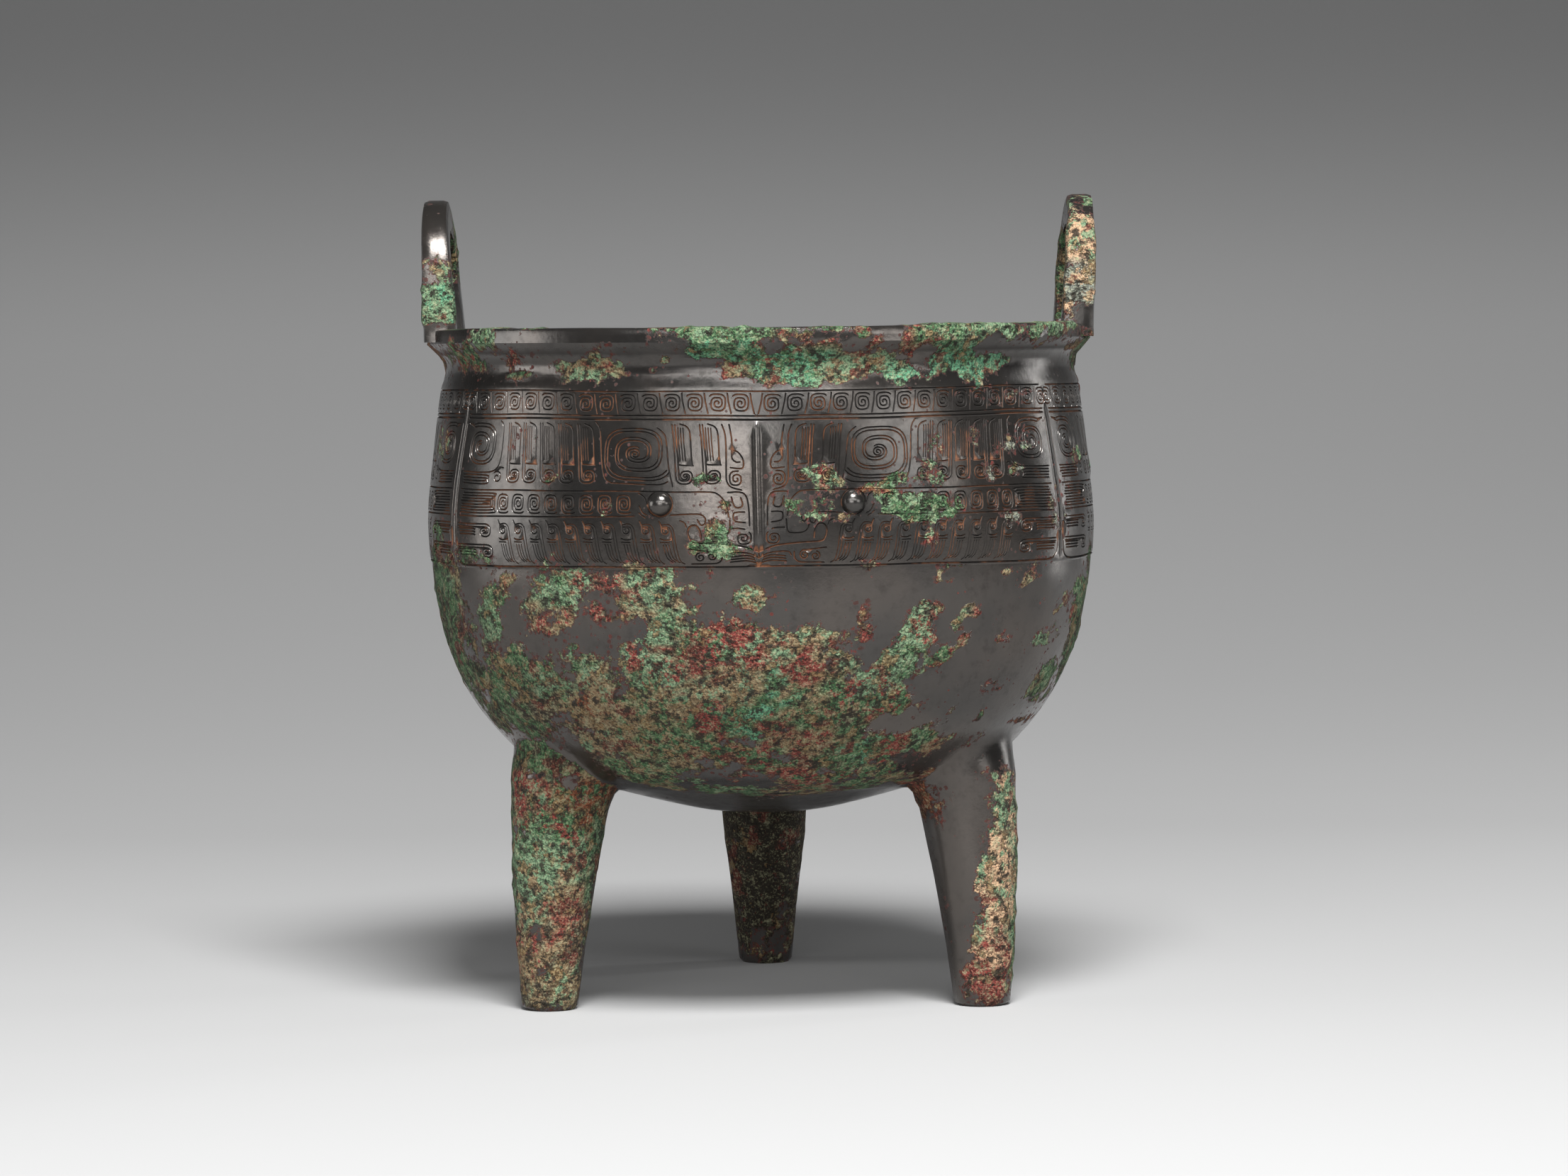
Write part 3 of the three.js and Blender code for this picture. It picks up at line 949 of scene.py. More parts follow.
@dataclass
class Ear:
    """An upright ear: a band bent into an arch that stands on the rim and splays out a little."""

    side: int
    half_width: float = 26.0
    shoulder: float = 214.0
    top: float = 238.6
    open_half: float = 16.0
    open_shoulder: float = 213.0
    open_top: float = 229.2
    face: float = 98.9
    base_thick: float = 9.6
    top_thick: float = 7.4
    splay: float = math.radians(1.6)
    foot: float = 196.4
    rim_top: float = 200.0
    square: float = 7.0
    points: int = 24

    def stations(self) -> list[tuple[Point, Point]]:
        """The two outlines, inner and outer, from one foot to the other.

        Returns:
            Matching points of both, as (y, z).
        """
        shaft = [self.foot, 198.4] + [200.6 + 2.2 * i for i in range(6)]
        half: list[tuple[Point, Point]] = [
            ((self.open_half, min(z, self.open_shoulder)), (self.half_width, z)) for z in shaft]
        for i in range(13):
            a = math.radians(90 * i / 12)
            inner = (self.open_half * math.cos(a),
                     self.open_shoulder + (self.open_top - self.open_shoulder) * math.sin(a))
            outer = (self.half_width * math.cos(a), self.shoulder + (self.top - self.shoulder) * math.sin(a))
            half.append((inner, outer))
        mirrored = [((-a[0], a[1]), (-b[0], b[1])) for a, b in half[-2::-1]]
        return half + mirrored

    def build(self) -> bpy.types.Object:
        """Pulls a rounded-square section along the arch.

        Returns:
            The ear as an object, in millimetres.
        """
        bm = bmesh.new()
        across = bm.verts.layers.float.new("across")
        deep = bm.verts.layers.float.new("deep")
        ring = bmesh.ops.create_circle(bm, cap_ends=True, radius=1, segments=self.points)["verts"]
        for v in ring:
            norm = (abs(v.co.x) ** self.square + abs(v.co.y) ** self.square) ** (1 / self.square)
            v[across], v[deep] = v.co.x / norm, v.co.y / norm
        edges = list({e for v in ring for e in v.link_edges})
        for i, (inner, outer) in enumerate(self.stations()):
            if i:
                moved = bmesh.ops.extrude_edge_only(bm, edges=edges)["geom"]
                ring = [g for g in moved if isinstance(g, bmesh.types.BMVert)]
                edges = [g for g in moved if isinstance(g, bmesh.types.BMEdge)
                         and all(v in ring for v in g.verts)]
            for v in ring:
                y, z = (mix(a, b, (v[across] + 1) / 2) for a, b in zip(inner, outer))
                rise = z - self.rim_top
                thick = mix(self.base_thick, self.top_thick,
                            min(1.0, max(0.0, rise / (self.top - self.rim_top))))
                x = self.face + math.tan(self.splay) * max(0.0, rise) - thick * (1 - v[deep]) / 2
                v.co = (self.side * x, y, z)
        bmesh.ops.contextual_create(bm, geom=edges)
        bmesh.ops.recalc_face_normals(bm, faces=bm.faces)
        return as_object("ear_blank", bm)


@dataclass
class Bowl:
    """The hollow bowl with its neck and rim, spun from one profile."""

    form: VesselForm
    columns: int = 180
    rim_top: float = 200.0
    rim_edge: float = 98.5
    rim_under: float = 195.6
    rim_round: float = 0.7
    mouth: float = 89.6
    floor: tuple[Point, ...] = ((0, 59.2), (24, 61.8), (45, 67.3), (62, 73.8))

    def profile(self) -> list[Point]:
        """The whole section of the wall, from under the bowl, over the rim, to the floor inside.

        Returns:
            Its points as (radius, height).
        """
        form = self.form
        below = [(r, z) for r, z in reversed(form.line()) if z < form.band_bottom - 0.2]
        below.append((float(form.radii(np.array([form.band_bottom]))[0]), form.band_bottom))
        below = [(r - form.band_step * smoothstep(119, 131, z), z) for r, z in below]
        neck_foot = (float(form.radii(np.array([form.band_top]))[0]), form.band_top)
        neck = spline([neck_foot, (94.4, 185.2), (93.85, 187.4), (93.9, 189.6), (94.5, 191.3), (95.8, 192.9)])
        b = self.rim_round
        lip = [(self.rim_edge, self.rim_under + 0.3), (self.rim_edge, self.rim_top - b),
               (self.rim_edge - b * 0.3, self.rim_top - b * 0.3), (self.rim_edge - b, self.rim_top),
               (self.mouth + b, self.rim_top), (self.mouth + b * 0.3, self.rim_top - b * 0.3),
               (self.mouth, self.rim_top - b)]
        walls = [(float(form.radii(np.array([z]))[0]) - form.wall, z) for z in (92, 104, 121, 146, 168)]
        inside = spline([*self.floor, *walls, (self.mouth, 187), (self.mouth, 193)])
        return (thinned(below, 0.03, 2.5) + thinned(neck, 0.02, 1.8) + thinned(lip, 0.01, 3.0)
                + thinned(inside[::-1], 0.05, 6.0))

    def build(self) -> bpy.types.Object:
        """Spins the profile and swells it over the legs.

        Returns:
            The bowl as an object, in millimetres, plain where the band will lie.
        """
        bm = spun(self.profile(), self.columns)
        put(bm, self.form.swell(coordinates(bm)))
        bmesh.ops.recalc_face_normals(bm, faces=bm.faces)
        return as_object("bowl_blank", bm)


@dataclass
class Casting:
    """The one casting: bowl, legs and ears joined, with the carved band let in."""

    form: VesselForm
    legs: list[Leg]
    blend: float = 3.0
    weld: float = 0.02
    band_inside: float = 93.0
    flow_height: float = 105.0
    flow_reach: float = 45.0
    buried: float = -0.6

    def joined(self, body: bpy.types.Object, others: list[bpy.types.Object]) -> bmesh.types.BMesh:
        """The union of the bowl and the rest.

        Args:
            body: The bowl.
            others: The legs and ears.

        Returns:
            The union as a mesh in millimetres. The objects that went into it are gone.
        """
        for other in others:
            cut = body.modifiers.new("join", "BOOLEAN")
            cut.operation = "UNION"
            cut.solver = "MANIFOLD"
            cut.object = other
        bpy.context.view_layer.update()
        ready = body.evaluated_get(bpy.context.evaluated_depsgraph_get())
        bm = bmesh.new()
        bm.from_mesh(ready.to_mesh())
        ready.to_mesh_clear()
        for used in (body, *others):
            mesh = used.data
            bpy.data.objects.remove(used)
            bpy.data.meshes.remove(mesh)
        return bm

    def build(self) -> bmesh.types.BMesh:
        """Builds the casting.

        Returns:
            The casting in millimetres about the bowl's axis, with the float layer "fill".
        """
        parts = [leg.build() for leg in self.legs] + [Ear(side).build() for side in (1, -1)]
        bm = self.joined(Bowl(self.form).build(), parts)
        LOG.info("blank: %d faces", len(bm.faces))
        dirt_and_shade = bm.verts.layers.float.new("dirt_and_shade")
        low, high = self.form.band_bottom, self.form.band_top
        plain = [f for f in bm.faces
                 if min(v.co.z for v in f.verts) < low + 0.1 and max(v.co.z for v in f.verts) > high - 0.1
                 and min(v.co.xy.length for v in f.verts) > self.band_inside]
        bmesh.ops.delete(bm, geom=plain, context="FACES")
        CarvedBand(self.form).lay(bm, dirt_and_shade)
        bmesh.ops.remove_doubles(bm, verts=bm.verts, dist=self.weld)
        spurs = [f for f in bm.faces if min(len(e.link_faces) for e in f.edges) < 2]
        bmesh.ops.delete(bm, geom=spurs, context="FACES")
        open_edges = sum(1 for e in bm.edges if not e.is_manifold)
        LOG.info("casting: %d faces, %d open edges", len(bm.faces), open_edges)
        co = coordinates(bm)
        for leg in self.legs:
            co = self.flowed(co, leg)
        put(bm, self.form.settle(co))
        return bm

    def flowed(self, co: np.ndarray, leg: Leg) -> np.ndarray:
        """Draws the surface out to a fillet where a leg meets the bowl.

        Args:
            co: Points in millimetres.
            leg: The leg.

        Returns:
            The moved points.
        """
        reach = np.hypot(*(co[:, :2] - leg.middle(co[:, 2])).T)
        near = np.flatnonzero((co[:, 2] < self.flow_height) & (reach < self.flow_reach))
        p = co[near]

        def blended(q: np.ndarray) -> np.ndarray:
            """Signed distance from the bowl and leg taken as one soft form."""
            a, b = self.form.depth(q), leg.depth(q)
            soft = np.maximum(self.blend - np.abs(a - b), 0)
            return np.minimum(a, b) - soft * soft / (4 * self.blend)

        outside = np.minimum(self.form.depth(p), leg.depth(p)) > self.buried
        for _ in range(4):
            far = blended(p)
            slope = slopes(blended, p, far)
            slope /= np.maximum((slope * slope).sum(1), 0.25)[:, None]
            p = p - slope * (far * outside)[:, None] * (p[:, 2] > 2)[:, None]
        co[near] = p
        return co


# ------------------------------------------------------------------ corrosion


def shade(red: int, green: int, blue: int) -> Colour:
    """A colour of screen values 0 to 255, in linear light.

    Args:
        red: Its red.
        green: Its green.
        blue: Its blue.

    Returns:
        The colour with an alpha of 1.
    """
    linear = [((c / 255 + 0.055) / 1.055) ** 2.4 if c > 10 else c / 255 / 12.92 for c in (red, green, blue)]
    return (linear[0], linear[1], linear[2], 1.0)


class Crust(Enum):
    """The minerals on the bronze, by colour.

    The rows of patches call them G, M, Q, T, R, U, E, C and N, in this order.
    """

    GREEN = shade(58, 94, 60)
    MINT = shade(98, 126, 96)
    TURQUOISE = shade(80, 136, 104)
    TAN = shade(122, 101, 74)
    RED = shade(118, 44, 40)
    RUST = shade(112, 56, 32)
    EARTH = shade(60, 50, 38)
    CHALK = shade(118, 122, 112)
    SAND = shade(178, 144, 114)


class Host(Enum):
    """The surfaces that patches of crust lie on, each with its own two coordinates.

    On the bowl they are azimuth in degrees and height; on a leg, azimuth about the leg's own
    middle and height; on an ear, y and height.
    """

    BOWL = 0
    INSIDE = 1
    LEG_RIGHT = 2
    LEG_BACK = 3
    LEG_LEFT = 4
    EAR_RIGHT = 5
    EAR_LEFT = 6


G, M, Q, T, R, U, E, C, N = Crust
LEG_HOSTS = (Host.LEG_RIGHT, Host.LEG_BACK, Host.LEG_LEFT)
Row = tuple[float, float, float, float, Crust, Crust, float]


@dataclass(frozen=True)
class Patch:
    """One area of crust: middle, half size, main mineral, the one that flecks it, and strength."""

    at: Point
    reach: Point
    main: Crust
    fleck: Crust
    strength: float = 1.0
    host: Host = Host.BOWL


@dataclass
class Corrosion:
    """Where the crusts lie, how thick they are and what they are made of."""

    form: VesselForm
    lump: float = 0.75
    seed: float = 3.7
    on_band: float = 0.81
    # painted shade: how much the crust colours on the legs' inner faces are darkened
    leg_crust_shade: float = 0.6
    # painted shade: how much the bare metal on the legs' inner faces is darkened
    leg_inner_shade: float = 0.2
    # painted shade: how much the metal under the rim is darkened
    under_rim_shade: float = 0.26
    under_rim: float = 193.6
    thin_inside: float = 0.4
    inside_depth: float = -2.5
    inside_top: float = 188.0
    mouth: tuple[float, float, float] = (91.5, 186.0, 199.5)
    leg_top: float = 90.0
    ear_foot: float = 200.9
    behind: int = 110
    within: int = 40

    def patches(self) -> list[Patch]:
        """The patches that are placed one by one, in the order in which they are laid.

        Returns:
            The patches of the bowl, the legs and the ears.
        """
        bowl = self.left_of_belly() + self.right_of_belly() + self.neck_and_rim() + self.band()
        made = self.sown(bowl, Host.BOWL)
        for host, rows in self.legs_and_ears().items():
            made += self.sown(rows, host)
        return made

    def sown(self, rows: list[Row], host: Host) -> list[Patch]:
        """Turns rows into patches, weaker ones where they lie on the carved band.

        Args:
            rows: The two coordinates, both half sizes, main mineral, fleck and strength.
            host: The surface that they lie on.

        Returns:
            The patches.
        """
        low, high = self.form.band_bottom, self.form.band_top
        made = []
        for first, second, wide, tall, main, fleck, strength in rows:
            carved = host is Host.BOWL and low < second < high
            kept = strength * self.on_band if carved else strength
            made.append(Patch((first, second), (wide, tall), main, fleck, kept, host))
        return made

    @staticmethod
    def left_of_belly() -> list[Row]:
        """Crusts on the belly, left of the middle and about it.

        Returns:
            Their rows.
        """
        return [
            (-72, 115, 8, 19, G, E, 1.0), (-70, 126, 6, 6, G, M, 1.0), (-62, 127, 1.5, 4, T, E, 0.9),
            (-53, 116, 2.6, 4.5, M, G, 1.0), (-50, 124, 3.5, 4, G, T, 0.75),
            (-47.5, 128.5, 2, 1.8, T, U, 0.95), (-61, 106, 4, 12, E, G, 0.62),
            (-54, 108, 3, 8, E, R, 0.5), (-57, 97, 8, 5, G, T, 0.85), (-56, 91, 9, 5, G, E, 0.85),
            (-66, 88, 6, 8, E, G, 0.7), (-52, 84, 6, 4, G, E, 0.6), (-42, 120, 3, 4, T, M, 0.85),
            (-37, 125, 4.5, 6.5, M, G, 0.8), (-33, 129, 4, 3, M, R, 0.7), (-38, 116, 4.5, 5, T, R, 0.75),
            (-35, 105, 3.5, 4.5, G, M, 0.75), (-44, 103, 3, 3, T, E, 0.6),
            (-28.5, 128, 3, 2.5, R, M, 0.6), (-24, 125, 3, 3, R, M, 0.6), (-27, 119, 4, 4, R, E, 0.45),
            (-18.5, 124, 4, 8, M, T, 1.0), (-17, 119, 4.5, 3, T, M, 1.0), (-16, 112, 4, 7, M, G, 1.0),
            (-9.5, 128, 1.2, 3, R, M, 0.75), (-1.5, 123, 2.4, 2.8, T, M, 0.85),
            (-11, 123, 1, 2, R, G, 0.6), (-11, 109, 7, 6, R, G, 1.0), (-4, 109, 5, 7, R, M, 1.0),
            (-8, 103, 5, 4, R, T, 1.0), (-17, 103, 8, 8, M, R, 0.95), (-13, 97, 8, 6, T, M, 0.95),
            (-4, 97, 5, 5, T, M, 1.0), (-3, 89, 5, 5, G, Q, 1.0), (-10, 87, 6, 4, R, G, 0.85),
            (-20, 92, 6, 6, T, G, 0.9), (-33, 98, 5, 6, T, M, 0.9), (-34, 90, 4.5, 5, T, U, 1.0),
            (-27, 89, 5, 6, T, G, 0.95), (-44, 97, 8, 5, M, E, 0.75), (-42, 92, 6, 4, T, G, 0.7),
            (-50, 92, 5, 6, G, T, 0.7), (-41, 84, 7, 4, E, R, 0.65), (-34, 80, 7, 4, T, M, 0.8),
            (-26, 79, 5, 3, T, G, 0.9), (-18, 82, 8, 6, G, T, 0.9), (-18, 75, 4, 3, T, G, 0.9),
            (-12, 80, 6, 5, G, R, 0.8), (-7, 75, 5, 2, R, E, 0.6), (-9, 70.5, 6, 1.6, R, E, 0.55),
            (-21, 69.5, 5, 1.5, G, M, 0.7), (-30, 66.5, 6, 1.2, T, G, 0.6), (-22, 65, 5, 1, M, G, 0.5),
            (-6, 63.5, 8, 1.2, G, E, 0.7), (-48, 100, 9, 7, G, T, 0.78), (-54, 88, 8, 6, G, E, 0.82),
            (-30, 72, 8, 4, G, T, 0.85), (-20, 75, 7, 4, E, G, 0.8), (-10, 66, 12, 2.5, G, M, 0.8),
            (0, 76, 7, 4, G, R, 0.8), (-23, 97, 5, 6, G, T, 0.8), (-46, 92, 6, 6, E, T, 0.8),
        ]

    @staticmethod
    def right_of_belly() -> list[Row]:
        """Crusts on the belly, right of the middle.

        Returns:
            Their rows.
        """
        return [
            (10, 66, 12, 2.5, T, G, 0.75), (25, 66, 8, 2, G, M, 0.72), (14, 102, 3, 5, T, M, 0.8),
            (2, 105, 4, 6, R, M, 1.0), (7, 104, 4, 5, R, T, 1.0), (5, 111, 5, 3.5, T, M, 0.9),
            (11, 112, 4, 2.4, T, M, 1.0), (8, 115, 2.4, 2.2, M, G, 0.8), (11, 107, 2.5, 4, M, T, 0.8),
            (2, 96, 4, 6, G, Q, 1.0), (7, 95.5, 5, 5, T, G, 1.0), (13.5, 96, 3, 4.5, G, R, 0.95),
            (10, 89, 7, 5, G, T, 0.95), (16, 86, 4.5, 3, G, E, 0.9), (3, 87, 4, 4, R, G, 0.9),
            (8, 81, 8, 4, T, R, 0.85), (16, 80, 6, 3, T, G, 0.85), (22, 78, 5, 3.5, G, Q, 1.0),
            (28, 79, 4, 3.5, R, G, 1.0), (33, 80.5, 4, 3, G, M, 0.95), (38, 78, 4, 3, T, R, 0.6),
            (42, 79.5, 2, 2, T, M, 0.7), (15, 74, 8, 2.5, G, E, 0.7), (9, 70.5, 6, 2, R, G, 0.95),
            (17, 69.5, 4, 1.8, G, R, 0.9), (28, 72, 7, 3, G, T, 0.65), (36, 69.5, 8, 2, T, G, 0.65),
            (30, 66.5, 9, 1.3, G, T, 0.55), (52, 68, 9, 1.8, U, R, 0.95), (50, 78, 4, 2.4, M, E, 0.5),
            (20, 98.5, 4, 3.5, M, R, 1.0), (24, 93.5, 4, 4, G, R, 0.95), (19, 91.5, 1.2, 1.2, M, R, 0.8),
            (28.5, 113, 2.2, 5, M, R, 0.95), (29.5, 119, 1.3, 2.5, M, R, 0.85),
            (26.5, 106, 2.4, 5, M, G, 0.95), (23.5, 102, 2.4, 3, M, G, 0.9),
            (33, 105.5, 2, 3, G, R, 0.95), (37, 109.5, 1.2, 1.6, R, G, 0.85),
            (35.5, 115, 0.8, 1.2, G, M, 0.8), (36.8, 117.6, 1, 1, T, M, 0.95),
            (17.3, 118.6, 1, 2, R, T, 0.8), (15.2, 121, 0.8, 1, T, R, 0.85),
            (18, 113, 2.4, 3, R, E, 0.6), (18, 110.5, 1, 1.2, M, R, 0.7),
            (13.6, 101.7, 1, 1, R, E, 0.85), (18.8, 103.2, 0.8, 1, R, E, 0.75),
            (31.8, 92, 1, 1, R, E, 0.85), (20.3, 86.5, 1.4, 1.2, R, E, 0.9),
            (46.5, 95, 1.8, 1.4, R, E, 0.75), (47.3, 86, 1.1, 1.4, G, R, 0.9),
            (36, 86, 2.2, 1.2, E, R, 0.7), (39, 88.8, 0.8, 0.8, E, T, 0.7),
            (31.6, 87.8, 0.9, 0.7, T, U, 0.8), (29.8, 127.8, 0.6, 1, T, U, 0.9),
            (33.4, 126.5, 0.6, 0.9, T, U, 0.9), (44.6, 127.8, 1.3, 1, T, M, 0.95),
            (51, 127.3, 1.3, 1.4, T, M, 0.95), (48.7, 124, 0.5, 0.9, T, U, 0.9),
            (53.3, 120.2, 0.7, 0.9, T, U, 0.9), (38.4, 117, 0.6, 1.2, T, R, 0.7),
            (45, 110, 1.2, 1.6, R, T, 0.75), (56, 107, 3, 2, M, E, 0.7), (62.5, 119, 2, 3, M, G, 0.7),
            (60, 115, 0.8, 3, T, M, 0.75), (62, 111, 0.8, 2, G, M, 0.75),
            (62.5, 107.8, 1, 0.8, T, M, 0.8), (74, 112, 4, 17, G, E, 1.0), (70.5, 122, 3, 4, G, M, 1.0),
            (69, 115, 1.6, 4, G, R, 0.85), (64, 96, 4, 4, G, M, 0.9), (60.5, 95, 1.6, 2.4, T, M, 0.95),
            (66, 91, 5, 2, G, T, 0.75), (66, 83, 6, 1.6, U, R, 0.7),
        ]

    @staticmethod
    def neck_and_rim() -> list[Row]:
        """Crusts on the neck and the rim.

        Returns:
            Their rows.
        """
        return [
            (-64, 192, 8, 4, G, R, 0.72), (-48, 189.5, 4, 4.5, R, E, 0.5),
            (-46, 187, 3, 1.4, G, M, 0.95), (-54, 198, 3.4, 2.2, M, G, 0.9),
            (-44, 201, 2.4, 1.4, G, M, 0.85), (-31.5, 188, 5.4, 2.9, M, T, 1.1),
            (-29, 189, 3, 2, T, R, 0.9), (-24.5, 186.6, 1.4, 1.3, T, G, 0.95),
            (-24, 192, 2.4, 1.4, G, R, 0.7), (-17.3, 189.3, 0.7, 1.7, T, M, 0.9),
            (-18.8, 187, 0.8, 0.8, T, M, 0.85), (-26, 194, 6, 1, R, E, 0.5),
            (-6, 198, 9, 2.6, G, M, 1.0), (-13, 198.5, 4, 2, G, R, 0.7),
            (-6, 193.5, 4.5, 2.6, Q, G, 1.0), (-4, 188, 2.6, 2.4, R, T, 1.1),
            (-4, 188.3, 1.5, 1.5, T, M, 1.3), (-1.5, 191, 3, 3, G, R, 1.0), (5, 189, 7.5, 4, Q, G, 1.05),
            (5, 185.6, 5, 2, M, Q, 0.95), (14, 188.6, 6, 3, M, T, 1.05), (20, 189.5, 4, 2, M, T, 1.0),
            (25, 187.3, 3.2, 2.6, Q, M, 0.95), (28, 185, 1.4, 1.6, Q, M, 0.9),
            (32.2, 187.5, 1.6, 2.6, Q, M, 0.95), (37.5, 189, 4, 2.8, Q, G, 1.05),
            (43, 188.5, 3, 2.6, Q, M, 0.95), (39.4, 184.6, 1.3, 3, Q, M, 1.0),
            (36, 191.5, 3, 1.4, G, Q, 0.9), (48.5, 189.6, 0.8, 0.7, Q, M, 0.7),
            (2, 197, 2.4, 1.6, R, E, 0.75), (7, 196, 1.4, 1.3, R, E, 0.9),
            (12, 196, 1.2, 1.3, R, E, 0.85), (16.8, 198, 1.5, 1.8, G, R, 0.95),
            (20, 195.6, 1.3, 1, R, E, 0.85), (11, 199.5, 3, 1, G, E, 0.8),
            (25, 196.5, 1.6, 2, R, G, 0.85), (28, 198, 3, 2, G, R, 0.9), (35, 198, 6, 3, G, M, 1.05),
            (43, 198.5, 5.4, 2.6, M, G, 1.05), (53.5, 198, 2.6, 2.2, G, M, 0.95),
            (62, 199, 4.4, 2, M, G, 1.0), (68, 200, 3, 1.6, M, G, 0.8), (33, 195, 6, 1.4, G, R, 0.85),
            (15, 192.8, 14, 0.9, R, E, 0.6), (58, 194.5, 9, 0.9, U, E, 0.65),
            (74, 193, 5, 1.2, U, T, 0.9),
        ]

    @staticmethod
    def band() -> list[Row]:
        """Crusts that have crept over the carved band.

        Returns:
            Their rows.
        """
        return [
            (-8.7, 156.4, 2, 2.2, G, M, 0.85), (-6.2, 148.5, 1, 3, G, U, 0.6),
            (-7.5, 142.5, 2.4, 3, M, G, 0.9), (-10.4, 139, 2, 2.6, G, T, 0.8),
            (-6.5, 137, 3, 3, M, G, 0.9), (-3.5, 138, 2, 2.4, G, U, 0.7), (-57, 135, 6, 3, G, E, 0.72),
            (-52, 133.6, 3, 1.6, G, M, 0.75), (-62, 134, 5, 2.4, G, T, 0.7),
            (-26.3, 148.6, 0.8, 2.2, G, M, 0.75), (-37, 159.5, 1.2, 2.6, G, T, 0.65),
            (-70, 140, 6, 3, G, M, 0.7), (-71, 168, 4, 5, M, T, 0.6), (-42, 169, 1.4, 2.4, G, T, 0.5),
            (-46, 168, 1, 2, G, U, 0.5), (10, 157.5, 3.4, 4.2, M, R, 0.8),
            (7.6, 150, 3.6, 4, G, M, 0.85), (9, 146, 3.2, 2, M, R, 0.8),
            (14.7, 146.3, 2, 1.6, T, M, 0.9), (22.5, 156, 4.4, 1.6, G, M, 0.8),
            (18.5, 153.8, 3, 1.2, U, R, 0.75), (29.5, 158, 2.6, 5, M, R, 0.85),
            (26, 149.8, 6.5, 3.4, G, M, 1.0), (21, 147.5, 1.6, 1.6, M, G, 0.85),
            (30, 146, 4.6, 1.8, G, M, 0.8), (30.5, 165, 1.6, 6, M, G, 0.6),
            (29.3, 138.6, 1.2, 3, M, R, 0.6), (33.4, 131.6, 3, 0.9, G, M, 0.7),
            (18.3, 132.8, 2, 1.2, R, E, 0.7), (26.5, 182.8, 1.6, 1.4, T, U, 0.7),
            (51.5, 165.5, 2.6, 3.4, C, G, 0.72), (47, 166, 1.6, 4, C, E, 0.62),
            (42, 160, 2, 7, C, E, 0.55), (39.5, 167, 1.4, 7, C, E, 0.55),
            (48, 158.6, 2.4, 2.4, G, C, 0.7), (55.5, 146, 2, 5, C, E, 0.7),
            (44.5, 145, 2.4, 2.4, C, E, 0.72), (43, 176.8, 1.6, 2.6, C, E, 0.72),
            (46, 180, 9, 2.4, C, E, 0.5), (60.6, 143, 2, 6, C, G, 0.7), (60, 154, 2, 3, G, C, 0.6),
            (64, 160, 5, 4, G, C, 0.45), (70, 161, 3, 2.6, G, M, 0.8), (53, 132, 3, 1.4, G, M, 0.6),
            (48.6, 171, 2.4, 1.2, G, C, 0.6),
        ]

    @staticmethod
    def legs_and_ears() -> dict[Host, list[Row]]:
        """Crusts on the legs and the ears.

        Returns:
            Their rows, by the surface that they lie on.
        """
        return {
            Host.LEG_LEFT: [
                (-20, 78, 50, 7, G, E, 0.85), (30, 76, 40, 7, T, R, 0.8), (-10, 56, 50, 10, G, R, 0.95),
                (30, 60, 40, 9, U, G, 0.8), (-45, 62, 40, 8, R, M, 0.9), (10, 44, 60, 7, M, T, 1.0),
                (-38, 47, 40, 8, M, G, 0.95), (10, 35, 40, 6, T, R, 0.95), (-40, 34, 40, 10, M, T, 0.95),
                (20, 26, 40, 6, R, E, 0.85), (15, 18, 60, 8, T, E, 0.85), (-50, 18, 40, 10, T, R, 0.85),
                (20, 7, 50, 6, T, M, 0.9), (-30, 5, 60, 4, E, T, 0.8), (60, 46, 30, 12, G, M, 0.8),
                (65, 24, 24, 12, M, E, 0.7), (-85, 45, 30, 25, G, E, 0.8),
            ],
            Host.LEG_RIGHT: [
                (42, 36, 28, 18, N, M, 0.98), (30, 20, 28, 12, N, R, 0.98), (60, 57, 28, 12, M, N, 0.85),
                (75, 30, 24, 25, G, M, 0.9), (20, 8, 40, 8, R, T, 0.9), (-20, 5, 30, 4, R, E, 0.7),
                (-60, 62, 24, 6, U, R, 0.9), (2, 24, 14, 5, M, R, 0.7), (-60, 30, 10, 6, R, E, 0.5),
            ],
            Host.LEG_BACK: [
                # The first patch, dark earth over the face that looks in towards the middle, is partly crust
                # and partly painted shade.
                (0, 38, 95, 34, E, E, 0.8), (40, 12, 50, 10, T, E, 0.6), (180, 30, 70, 26, G, E, 0.75),
            ],
            Host.EAR_LEFT: [
                (-26, 207.5, 7, 4.5, M, Q, 1.1), (-24, 218, 8, 4, T, M, 0.5),
                (14, 225, 12, 10, G, E, 0.7),
            ],
            Host.EAR_RIGHT: [
                (-22, 224, 8, 8, N, M, 0.8), (-25, 212, 6, 6, C, N, 0.85), (-8, 237, 9, 2, M, G, 0.6),
                (16, 218, 12, 12, G, T, 0.75),
            ],
        }

    def dress(self, bm: bmesh.types.BMesh, legs: list[Leg]) -> None:
        """Lays the crusts on the casting and marks its vertices for the finish, painted shade under the rim
        and on the legs' inner faces included.

        Args:
            bm: The casting, in millimetres, with the float layer "fill".
            legs: Its legs.
        """
        bm.normal_update()
        co = coordinates(bm)
        out = np.array([tuple(v.normal) for v in bm.verts])
        host = self.hosts(co, out, legs)
        grain = np.array([
            noise.noise(Vector(p) * 0.3) * 0.6 + noise.noise(Vector(p) * 0.8) * 0.4 for p in co])
        crust, tint, fleck = self.spread(co, host, grain, legs)
        deep = bm.verts.layers.float["dirt_and_shade"]
        dirt_and_shade = np.array([v[deep] for v in bm.verts])
        # painted shade under the rim: a band over the rim's underside and the top of the neck is darkened and
        # dulled through the groove layer
        under = np.clip(1.6 - np.abs(co[:, 2] - self.under_rim) / 1.4, 0, 1) * (host == Host.BOWL.value)
        dirt_and_shade = np.maximum(dirt_and_shade, self.under_rim_shade * under)
